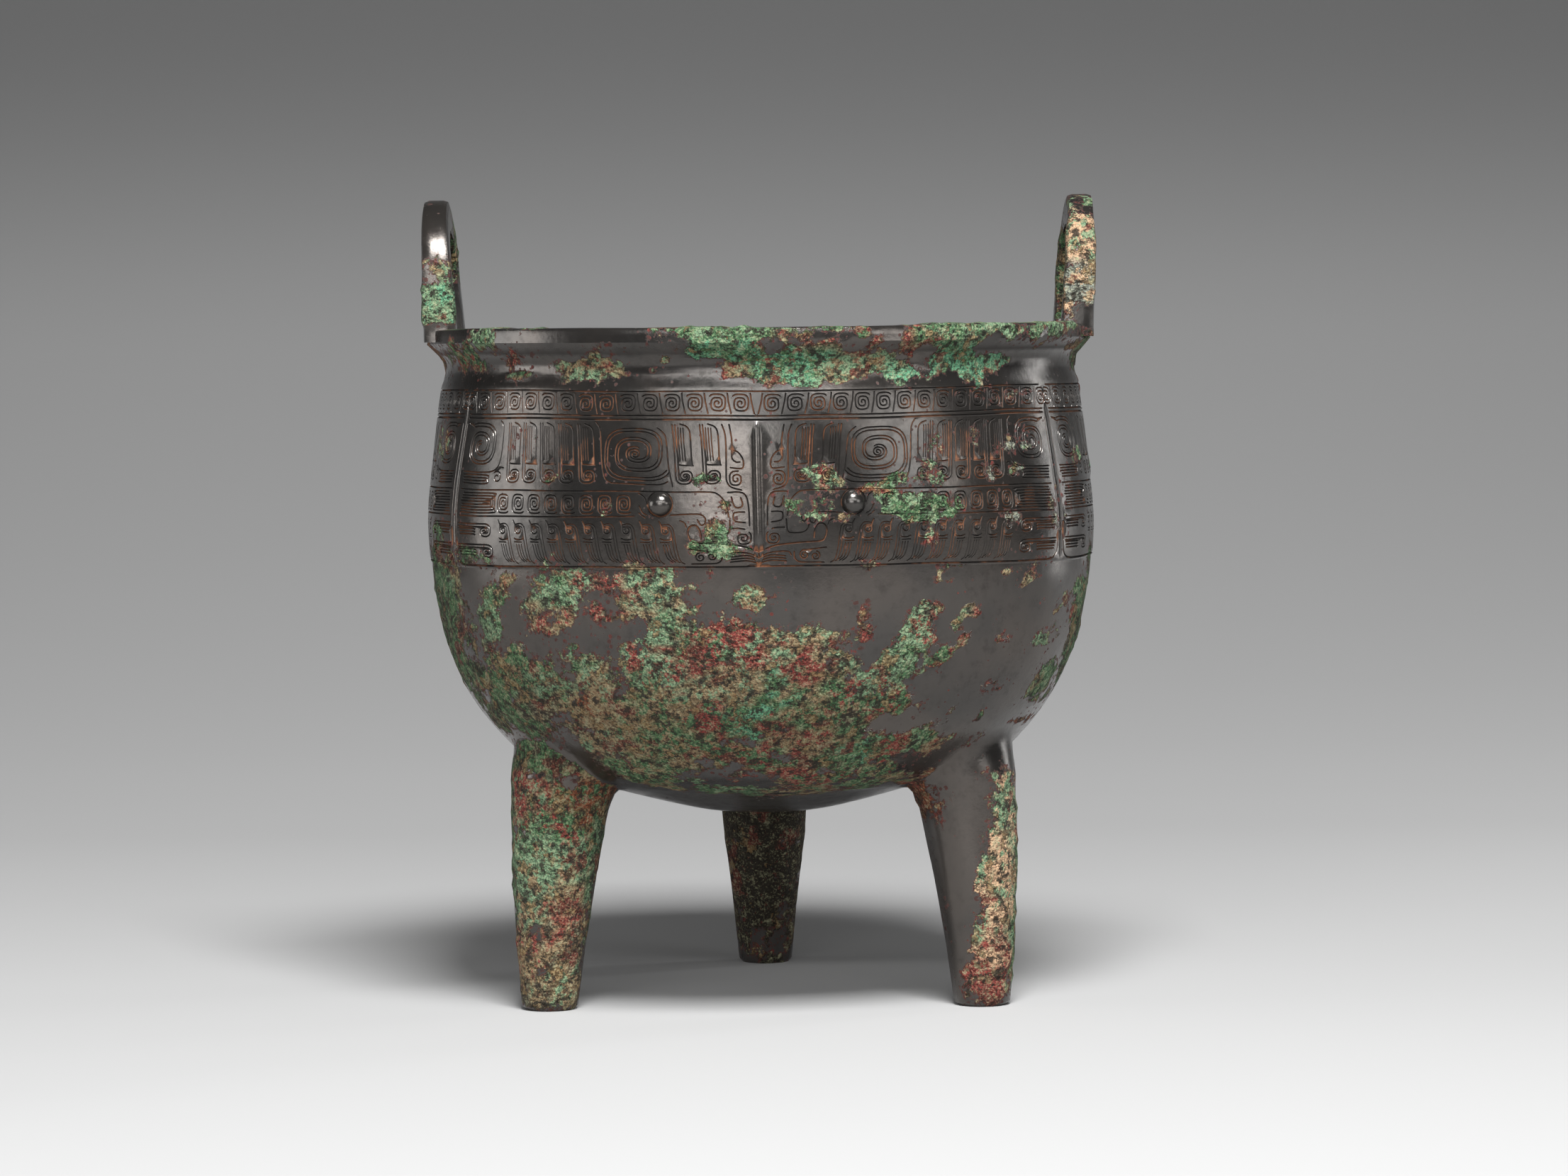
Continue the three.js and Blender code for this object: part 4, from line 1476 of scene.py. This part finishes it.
        # painted shade on the faces of the legs that look in towards the middle: their bare metal is darkened
        # and dulled through the groove layer, and their crust colours are darkened
        facing_out = (co[:, :2] * out[:, :2]).sum(axis=1)
        on_leg = (host >= Host.LEG_RIGHT.value) & (host <= Host.LEG_LEFT.value)
        inner = np.clip(-1.6 * facing_out / np.hypot(co[:, 0], co[:, 1]).clip(1), 0, 1) * on_leg
        dirt_and_shade = np.maximum(dirt_and_shade, self.leg_inner_shade * inner)
        soot_and_shade = (1 - self.leg_crust_shade * inner)[:, None]
        cover = np.clip((crust - 0.48) / 0.35, 0, 1)
        rise = self.lump * cover * (0.5 + 0.9 * grain + 0.55 * dirt_and_shade)
        inside = host == Host.INSIDE.value
        rise = np.where(inside, rise * self.thin_inside, rise) * np.clip(co[:, 2] / 3, 0, 1)
        low, high = (np.array(corner) / MM for corner in CAD_BOX)
        shift = np.array((0.0, self.form.axis_y() / MM, 0.0))
        put(bm, np.clip(co + out * rise[:, None], low - shift, high - shift))
        for name, values in (("dirt_and_shade", dirt_and_shade), ("crust", crust), ("inside", inside)):
            layer = bm.verts.layers.float.get(name) or bm.verts.layers.float.new(name)
            for v, value in zip(bm.verts, values):
                v[layer] = float(value)
        for name, colours in (("tint", tint * soot_and_shade), ("fleck", fleck * soot_and_shade)):
            layer = bm.verts.layers.float_color.new(name)
            for v, colour in zip(bm.verts, colours):
                v[layer] = colour

    def spread(self, co: np.ndarray, host: np.ndarray, grain: np.ndarray,
               legs: list[Leg]) -> tuple[np.ndarray, np.ndarray, np.ndarray]:
        """Works out how much crust each point carries, and its two minerals.

        Args:
            co: Points in millimetres.
            host: The surface of each, as Host values.
            grain: A fine unevenness for each.
            legs: The legs.

        Returns:
            The share of crust, from 0 to 1, and the colours of the mineral and its fleck.
        """
        wander = np.array([
            tuple(noise.noise_vector(Vector(p) * 0.13 + Vector((self.seed, 0, 0))) * 2.6
                  + noise.noise_vector(Vector(p) * 0.42) * 1.1) for p in co])
        moved = co + wander
        first = np.degrees(azimuths(moved))
        for leg, name in zip(legs, LEG_HOSTS):
            gap = moved[:, :2] - leg.middle(co[:, 2])
            first = np.where(host == name.value, np.degrees(azimuths(gap)), first)
        first = np.where(host >= Host.EAR_RIGHT.value, moved[:, 1], first)
        second = moved[:, 2]
        best, crust = np.zeros(len(co)), np.zeros(len(co))
        tint = np.tile(np.array(Crust.EARTH.value), (len(co), 1))
        fleck = np.tile(np.array(Crust.RED.value), (len(co), 1))
        for k, patch in enumerate(self.patches() + self.unseen()):
            across = first - patch.at[0]
            if patch.host.value < Host.EAR_RIGHT.value:
                across = (across + 180) % 360 - 180
            far = np.hypot(across / patch.reach[0], (second - patch.at[1]) / patch.reach[1])
            here = patch.strength * np.clip(1.45 - 0.75 * far, 0, 1) * (host == patch.host.value)
            crust = np.maximum(crust, here)
            score = here * (1 + 0.25 * np.sin(k * 2.4 + grain * 9))
            won = score > best
            best = np.where(won, score, best)
            tint[won] = patch.main.value
            fleck[won] = patch.fleck.value
        return np.clip(crust * (0.9 + 0.35 * grain), 0, 1), tint, fleck

    def hosts(self, co: np.ndarray, out: np.ndarray, legs: list[Leg]) -> np.ndarray:
        """Which surface each point lies on.

        Args:
            co: Points in millimetres.
            out: Their normals.
            legs: The legs.

        Returns:
            One Host value for each point.
        """
        host = np.full(len(co), Host.BOWL.value)
        z = co[:, 2]
        inward = (co[:, 0] * out[:, 0] + co[:, 1] * out[:, 1]) < 0
        radius, low, high = self.mouth
        deep = self.form.depth(co)
        host[(deep < self.inside_depth) & (z < self.inside_top)] = Host.INSIDE.value
        in_mouth = inward & (np.hypot(co[:, 0], co[:, 1]) < radius)
        host[(z >= low) & (z < high) & in_mouth] = Host.INSIDE.value
        for leg, name in zip(legs, LEG_HOSTS):
            host[(deep > 0.5) & (leg.depth(co) < 3) & (z < self.leg_top)] = name.value
        host[(z > self.ear_foot) & (co[:, 0] > 0)] = Host.EAR_RIGHT.value
        host[(z > self.ear_foot) & (co[:, 0] < 0)] = Host.EAR_LEFT.value
        return host

    def unseen(self) -> list[Patch]:
        """Plainer patches for the sides, the back and the inside, scattered by a fixed rule.

        Returns:
            The patches.
        """
        kinds = list(Crust)
        made = []
        for i in range(self.behind):
            a = (0.618034 * i * 7.0 + 0.13) % 1.0
            b = (0.754878 * i + 0.37) % 1.0
            c = (0.569840 * i + 0.71) % 1.0
            size = 2 + 7 * c * c
            main, fleck = kinds[(i * 5) % 6], kinds[(i * 3 + 1) % 7]
            made.append(Patch((84 + 192 * a, 62 + 138 * b), (size, size * 0.75), main, fleck, 0.6 + 0.35 * c))
        for i in range(self.within):
            a, b = (0.618034 * i) % 1.0, (0.754878 * i + 0.2) % 1.0
            reach = (9 + 10 * ((i * 0.57) % 1), 9)
            main, fleck = kinds[(i * 5) % 6], kinds[(i * 3 + 4) % 7]
            made.append(Patch((360 * a, 60 + 138 * b), reach, main, fleck, 0.62, Host.INSIDE))
        return made


# ------------------------------------------------------------------ the finish


@dataclass
class Graph:
    """A material's node graph, with short ways to add the nodes that the finish needs."""

    tree: bpy.types.ShaderNodeTree

    def node(self, kind: str, **values: object) -> bpy.types.Node:
        """A new node.

        Args:
            kind: Its type.
            **values: Some of its settings.

        Returns:
            The node.
        """
        made = self.tree.nodes.new(kind)
        for name, value in values.items():
            setattr(made, name, value)
        return made

    def feed(self, socket: bpy.types.NodeSocket, value: object) -> None:
        """Links an output to a socket, or sets the socket's own value.

        Args:
            socket: The socket.
            value: The output or the value.
        """
        if isinstance(value, bpy.types.NodeSocket):
            self.tree.links.new(value, socket)
        else:
            socket.default_value = value

    def noise(self, vector: bpy.types.NodeSocket, scale: float, detail: float = 3.0,
              rough: float = 0.5) -> bpy.types.NodeSocket:
        """A noise field of 0 to 1.

        Args:
            vector: Where it is read.
            scale: Its scale.
            detail: How many finer layers it has.
            rough: How strong those are.

        Returns:
            The field.
        """
        made = self.node("ShaderNodeTexNoise")
        self.feed(made.inputs["Vector"], vector)
        made.inputs["Scale"].default_value = scale
        made.inputs["Detail"].default_value = detail
        made.inputs["Roughness"].default_value = rough
        return made.outputs["Fac"]

    def cells(self, vector: bpy.types.NodeSocket, scale: float) -> bpy.types.NodeSocket:
        """A field of rounded grains: distance from the nearest grain's middle.

        Args:
            vector: Where it is read.
            scale: Its scale.

        Returns:
            The field.
        """
        made = self.node("ShaderNodeTexVoronoi", feature="SMOOTH_F1")
        self.feed(made.inputs["Vector"], vector)
        made.inputs["Scale"].default_value = scale
        made.inputs["Smoothness"].default_value = 0.6
        return made.outputs["Distance"]

    def math(self, operation: str, *values: object) -> bpy.types.NodeSocket:
        """A sum, product or other result of numbers.

        Args:
            operation: What is done with them.
            *values: The numbers or outputs.

        Returns:
            The result.
        """
        made = self.node("ShaderNodeMath", operation=operation)
        for socket, value in zip(made.inputs, values):
            self.feed(socket, value)
        return made.outputs[0]

    def ramp(self, value: object, low: float, high: float, to_low: float = 0.0,
             to_high: float = 1.0) -> bpy.types.NodeSocket:
        """A value eased from one range to another.

        Args:
            value: The value.
            low: Where its range starts.
            high: Where its range ends.
            to_low: The result at low.
            to_high: The result at high.

        Returns:
            The eased value.
        """
        made = self.node("ShaderNodeMapRange", interpolation_type="SMOOTHSTEP")
        for name, given in (("Value", value), ("From Min", low), ("From Max", high),
                            ("To Min", to_low), ("To Max", to_high)):
            self.feed(made.inputs[name], given)
        return made.outputs[0]

    def mix(self, share: object, a: object, b: object) -> bpy.types.NodeSocket:
        """A mix of two colours.

        Args:
            share: How much of b it has.
            a: The first colour.
            b: The second colour.

        Returns:
            The mixed colour.
        """
        made = self.node("ShaderNodeMix", data_type="RGBA")
        self.feed(made.inputs["Factor"], share)
        self.feed(made.inputs[6], a)
        self.feed(made.inputs[7], b)
        return made.outputs[2]

    def blend(self, share: object, a: object, b: object) -> bpy.types.NodeSocket:
        """A mix of two numbers.

        Args:
            share: How much of b it has.
            a: The first number.
            b: The second number.

        Returns:
            The mixed number.
        """
        made = self.node("ShaderNodeMix", data_type="FLOAT")
        self.feed(made.inputs[0], share)
        self.feed(made.inputs[2], a)
        self.feed(made.inputs[3], b)
        return made.outputs[0]

    def attribute(self, name: str, output: str = "Fac") -> bpy.types.NodeSocket:
        """A vertex attribute of the piece."""
        return self.node("ShaderNodeAttribute", attribute_name=name).outputs[output]

    def bump(self, height: object, distance: float, strength: float,
             normal: bpy.types.NodeSocket | None = None) -> bpy.types.NodeSocket:
        """A bumped normal.

        Args:
            height: The height field.
            distance: Its height in metres.
            strength: How strongly it shows.
            normal: A normal that it is added to.

        Returns:
            The normal.
        """
        made = self.node("ShaderNodeBump")
        self.feed(made.inputs["Height"], height)
        made.inputs["Distance"].default_value = distance
        made.inputs["Strength"].default_value = strength
        if normal is not None:
            self.feed(made.inputs["Normal"], normal)
        return made.outputs["Normal"]


@dataclass(frozen=True)
class OldBronze:
    """Dark polished bronze under crusts of copper minerals, with earth left in the grooves."""

    dark: Colour = shade(79, 77, 75)
    warm: Colour = shade(91, 86, 82)
    groove: Colour = shade(118, 78, 54)
    ochre: Colour = shade(120, 96, 64)
    margin: Colour = shade(58, 36, 32)
    # This dark colour darkens the grooves as dirt and mottles the metal, and is also painted shade under the
    # rim and on the legs' inner faces.
    soot_and_shade: Colour = shade(30, 27, 25)
    cuprite: Colour = shade(92, 38, 32)
    # The next two colours: the pale one is partly a pale mineral and partly painted highlight on the crust's
    # grain tops; the other is painted shade in the crust's hollows.
    pale: Colour = shade(138, 138, 110)
    shadow: Colour = shade(36, 32, 25)
    metallic: float = 0.86
    polish: float = 0.17
    crusted: float = 0.9

    def build(self) -> bpy.types.Material:
        """Makes the material.

        Returns:
            The material, which reads Object coordinates and the piece's own attributes.
        """
        material = bpy.data.materials.new("old_bronze")
        material.use_nodes = True
        g = Graph(material.node_tree)
        shader = g.tree.nodes["Principled BSDF"]
        place = g.node("ShaderNodeTexCoord").outputs["Object"]
        broad = g.noise(place, 30, 3)
        blotch = g.noise(place, 85, 5, 0.6)
        rag = g.noise(place, 120, 9, 0.72)
        mid = g.noise(place, 260, 7, 0.72)
        fine = g.noise(place, 700, 5, 0.7)
        relief = g.noise(place, 380, 9, 0.76)
        grit = g.noise(place, 1500, 4, 0.7)
        lump = g.noise(place, 160, 6, 0.66)

        # where the crust lies, and the thin stain round it
        crust = g.attribute("crust")
        # this layer holds the dirt in the grooves and, under the rim and on the legs' inner faces, painted
        # shade
        dirt_and_shade = g.attribute("dirt_and_shade")
        ragged = g.math("MULTIPLY_ADD", g.math("SUBTRACT", rag, 0.5), 2.0, crust)
        edge = g.math("MULTIPLY_ADD", g.math("SUBTRACT", relief, 0.5), 0.7, ragged)
        cover = g.ramp(edge, 0.465, 0.495)
        halo = g.math("MULTIPLY", g.ramp(edge, 0.37, 0.42), g.ramp(fine, 0.46, 0.52))

        # bare metal, dirt in the grooves, painted shade under the rim and on the legs' inner faces (the
        # groove layer carries both), and small spots of corrosion
        metal = g.mix(g.ramp(broad, 0.36, 0.66), self.dark, self.warm)
        metal = g.mix(g.ramp(mid, 0.48, 0.72, 0, 0.3), metal, self.soot_and_shade)
        metal = g.mix(g.ramp(dirt_and_shade, 0.06, 0.35, 0, 0.95), metal, self.soot_and_shade)
        soil = g.math("MULTIPLY", g.ramp(dirt_and_shade, 0.22, 0.7), g.ramp(blotch, 0.47, 0.56))
        metal = g.mix(g.math("MULTIPLY", soil, g.ramp(fine, 0.36, 0.54, 0.4, 1.0)), metal, self.groove)
        near = g.math("MULTIPLY_ADD", g.math("SUBTRACT", blotch, 0.5), 1.6, crust)
        dots = g.math("MULTIPLY", g.ramp(g.cells(place, 420), 0.32, 0.25), g.ramp(near, 0.20, 0.26))
        dots = g.math("MULTIPLY", dots, g.ramp(mid, 0.48, 0.5))
        pits = g.math("MULTIPLY", g.ramp(g.cells(place, 330), 0.15, 0.10), g.ramp(blotch, 0.49, 0.54, 0, 0.8))
        dots = g.math("MAXIMUM", dots, pits)
        halo = g.math("MAXIMUM", halo, dots)
        metal = g.mix(halo, metal, g.mix(g.ramp(fine, 0.50, 0.64), self.margin, self.cuprite))

        # the crust, from its mineral through its knobs and stains to the hollows between grains; the pale
        # colour on the tops of the relief and in fine specks is partly pale mineral and partly painted
        # highlight, and the shadow colour is painted shade in the hollows and in fine dark specks
        mineral = g.mix(g.ramp(mid, 0.51, 0.55), g.attribute("tint", "Color"), g.attribute("fleck", "Color"))
        knob = g.ramp(lump, 0.57, 0.60)
        mineral = g.mix(g.math("MULTIPLY", knob, 0.85), mineral, self.ochre)
        mineral = g.mix(g.ramp(blotch, 0.59, 0.62, 0, 0.9), mineral, self.cuprite)
        mineral = g.mix(g.ramp(fine, 0.59, 0.64, 0, 0.65), mineral, self.cuprite)
        # pale on the tops of the relief and on fine grit: partly pale mineral, partly painted highlight
        mineral = g.mix(g.ramp(relief, 0.53, 0.62, 0, 0.6), mineral, self.pale)
        mineral = g.mix(g.ramp(grit, 0.53, 0.6, 0, 0.45), mineral, self.pale)
        # painted shade in the hollows between grains, less on the ochre knobs, and in fine dark grit
        hollow = g.blend(knob, g.ramp(relief, 0.50, 0.43, 0, 0.94), g.ramp(relief, 0.46, 0.38, 0, 0.7))
        mineral = g.mix(hollow, mineral, self.shadow)
        mineral = g.mix(g.ramp(grit, 0.5, 0.38, 0, 0.7), mineral, self.shadow)
        colour = g.mix(cover, metal, mineral)

        # polish, which dirt and crust take away
        rough = g.blend(g.ramp(mid, 0.38, 0.66), self.polish, self.polish + 0.09)
        matt = g.ramp(dirt_and_shade, 0.08, 0.35)
        rough = g.blend(g.math("MAXIMUM", matt, halo), rough, 0.75)
        rough = g.blend(g.math("MULTIPLY", g.attribute("inside"), 0.7), rough, 0.6)
        rough = g.blend(cover, rough, self.crusted)
        g.feed(shader.inputs["Base Color"], colour)
        g.feed(shader.inputs["Roughness"], rough)
        dull = g.math("MAXIMUM", g.math("MAXIMUM", cover, matt), halo)
        g.feed(shader.inputs["Metallic"], g.blend(dull, self.metallic, 0.0))
        shader.inputs["Specular IOR Level"].default_value = 0.3

        # relief too fine for the mesh
        skin = g.bump(g.math("MULTIPLY_ADD", fine, 0.3, mid), 0.0004, 0.22)
        hills = g.math("MULTIPLY_ADD", g.noise(place, 250, 3), 1.3, knob)
        grains = g.noise(place, 800, 2)
        lumps = g.math("MULTIPLY", cover, g.math("MULTIPLY_ADD", grains, 0.8, hills))
        g.feed(shader.inputs["Normal"], g.bump(lumps, 0.0022, 1.0, skin))
        return material


# ------------------------------------------------------------------ the studio


@dataclass(frozen=True)
class Softbox:
    """A lamp by its direction from the vessel: azimuth and elevation in degrees, distance in metres."""

    name: str
    azimuth: float
    elevation: float
    distance: float
    size: tuple[float, float]
    power: float


@dataclass
class Studio:
    """Pale floor, soft lights and the camera. Lengths are in metres, angles in degrees."""

    camera_at: tuple[float, float, float] = (0.0, -1.531, 0.1957)
    aim: tuple[float, float, float] = (0.0067, 0.0, 0.1214)
    lens: float = 117.1
    roll: float = -0.6
    # The paper's tones paint the fall of light over the sweep: a little lighter behind the vessel than in
    # front of it, darker up the wall, and nearly black towards the front edge.
    paper_near: Colour = (0.38, 0.38, 0.38, 1.0)
    paper_far: Colour = (0.45, 0.45, 0.45, 1.0)
    paper_top: Colour = (0.27, 0.27, 0.27, 1.0)
    paper_edge: Colour = (0.05, 0.05, 0.05, 1.0)
    paper_front: float = -2.6
    paper_half: float = 3.5
    curve_from: float = 0.5
    curve: float = 2.5
    curve_parts: int = 30
    lamp_aim: float = 0.12
    air: Colour = (0.95, 0.97, 1.0, 1.0)
    air_strength: float = 0.02
    boxes: tuple[Softbox, ...] = (
        Softbox("key", 9, 56, 1.4, (0.5, 0.5), 42),
        Softbox("strip", -2, 25, 1.9, (2.4, 0.2), 15),
        Softbox("front", -10, 7.5, 1.9, (0.9, 0.45), 8),
        Softbox("side", 48, 10, 1.9, (0.8, 0.4), 4.5),
        Softbox("left", -88, 5, 1.2, (0.6, 0.5), 3.4),
        Softbox("right", 116, 10, 1.1, (0.12, 0.8), 2.2),
    )

    def build(self, axis_y: float) -> None:
        """Builds the whole studio.

        Args:
            axis_y: Where the bowl's axis stands in Y.
        """
        self.floor()
        self.camera(axis_y)
        for box in self.boxes:
            self.lamp(box, Vector((0.0, axis_y, self.lamp_aim)))
        world = bpy.data.worlds.new("studio")
        bpy.context.scene.world = world
        world.use_nodes = True
        background = world.node_tree.nodes["Background"]
        background.inputs["Color"].default_value = self.air
        background.inputs["Strength"].default_value = self.air_strength
        bpy.context.scene.view_settings.view_transform = "Standard"

    def floor(self) -> None:
        """A sweep of pale paper: floor, a wide curve and a wall behind."""
        bm = bmesh.new()
        outline = [(self.paper_front, 0.0), (self.curve_from, 0.0)]
        for i in range(1, self.curve_parts + 1):
            a = math.radians(90 * i / self.curve_parts)
            outline.append((self.curve_from + self.curve * math.sin(a), self.curve * (1 - math.cos(a))))
        verts = [bm.verts.new((-self.paper_half, y, z)) for y, z in outline]
        edges = [bm.edges.new(pair) for pair in zip(verts, verts[1:])]
        wide = bmesh.ops.extrude_edge_only(bm, edges=edges)["geom"]
        far_side = [g for g in wide if isinstance(g, bmesh.types.BMVert)]
        bmesh.ops.translate(bm, vec=(2 * self.paper_half, 0, 0), verts=far_side)
        bmesh.ops.recalc_face_normals(bm, faces=bm.faces)
        sweep = as_object("sweep", bm)
        for face in sweep.data.polygons:
            face.use_smooth = True
        paper = bpy.data.materials.new("paper")
        paper.use_nodes = True
        g = Graph(paper.node_tree)
        shader = paper.node_tree.nodes["Principled BSDF"]
        split = g.node("ShaderNodeSeparateXYZ")
        g.feed(split.inputs[0], g.node("ShaderNodeTexCoord").outputs["Object"])
        back = split.outputs["Y"]
        # painted fall of light: lighter behind the vessel, darker up the wall, near black towards the front
        # edge
        tone = g.mix(g.ramp(back, 0.0, 0.7), self.paper_near, self.paper_far)
        tone = g.mix(g.ramp(back, 1.45, 1.9), tone, self.paper_top)
        tone = g.mix(g.ramp(back, -0.45, -0.95), tone, self.paper_edge)
        g.feed(shader.inputs["Base Color"], tone)
        shader.inputs["Roughness"].default_value = 0.9
        sweep.data.materials.append(paper)

    def camera(self, axis_y: float) -> None:
        """The camera, level with the rim, a little turned about its own line of sight.

        Args:
            axis_y: Where the bowl's axis stands in Y.
        """
        data = bpy.data.cameras.new("camera")
        data.lens = self.lens
        data.sensor_width = 36
        made = bpy.data.objects.new("camera", data)
        bpy.context.scene.collection.objects.link(made)
        at, aim = Vector(self.camera_at), Vector(self.aim)
        at.y += axis_y
        aim.y += axis_y
        look = (aim - at).to_track_quat("-Z", "Y").to_matrix().to_4x4()
        made.matrix_world = Matrix.Translation(at) @ look @ Matrix.Rotation(math.radians(self.roll), 4, "Z")
        bpy.context.scene.camera = made

    @staticmethod
    def lamp(box: Softbox, middle: Vector) -> None:
        """Hangs one softbox so that it points at the middle of the vessel.

        Args:
            box: The softbox.
            middle: The middle of the vessel.
        """
        data = bpy.data.lights.new(box.name, "AREA")
        data.shape = "RECTANGLE"
        data.size, data.size_y = box.size
        data.energy = box.power
        made = bpy.data.objects.new(box.name, data)
        a, e = math.radians(box.azimuth), math.radians(box.elevation)
        away = Vector((math.sin(a) * math.cos(e), -math.cos(a) * math.cos(e), math.sin(e)))
        made.location = middle + away * box.distance
        made.rotation_euler = (-away).to_track_quat("-Z", "Y").to_euler()
        bpy.context.scene.collection.objects.link(made)


# ------------------------------------------------------------------ the whole


@dataclass
class Ding:
    """The finished vessel, one piece that stands for the cast solid."""

    form: VesselForm
    first_leg: float = 60.0
    crisp: float = 35.0

    def build(self) -> bpy.types.Object:
        """Builds, corrodes and dresses the casting.

        Returns:
            The finished piece.
        """
        legs = [Leg(self.form, math.radians(self.first_leg + 360 / PANELS * i)) for i in range(PANELS)]
        bm = Casting(self.form, legs).build()
        Corrosion(self.form).dress(bm, legs)
        bmesh.ops.scale(bm, vec=(MM, MM, MM), verts=bm.verts)
        bmesh.ops.translate(bm, vec=(0, self.form.axis_y(), 0), verts=bm.verts)
        piece = as_object("bronze_ding", bm)
        for face in piece.data.polygons:
            face.use_smooth = True
        piece.data.set_sharp_from_angle(angle=math.radians(self.crisp))
        piece.data.materials.append(OldBronze().build())
        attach(piece, "root")
        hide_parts(NODE)
        LOG.info("%s: %d triangles", piece.name, sum(len(f.vertices) - 2 for f in piece.data.polygons))
        return piece


def main() -> None:
    """Builds the studio and the vessel."""
    logging.basicConfig(level=logging.INFO, format="%(message)s", force=True)
    noise.seed_set(SEED)
    form = VesselForm()
    Studio().build(form.axis_y())
    Ding(form).build()
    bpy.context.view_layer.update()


if __name__ == "__main__":
    main()
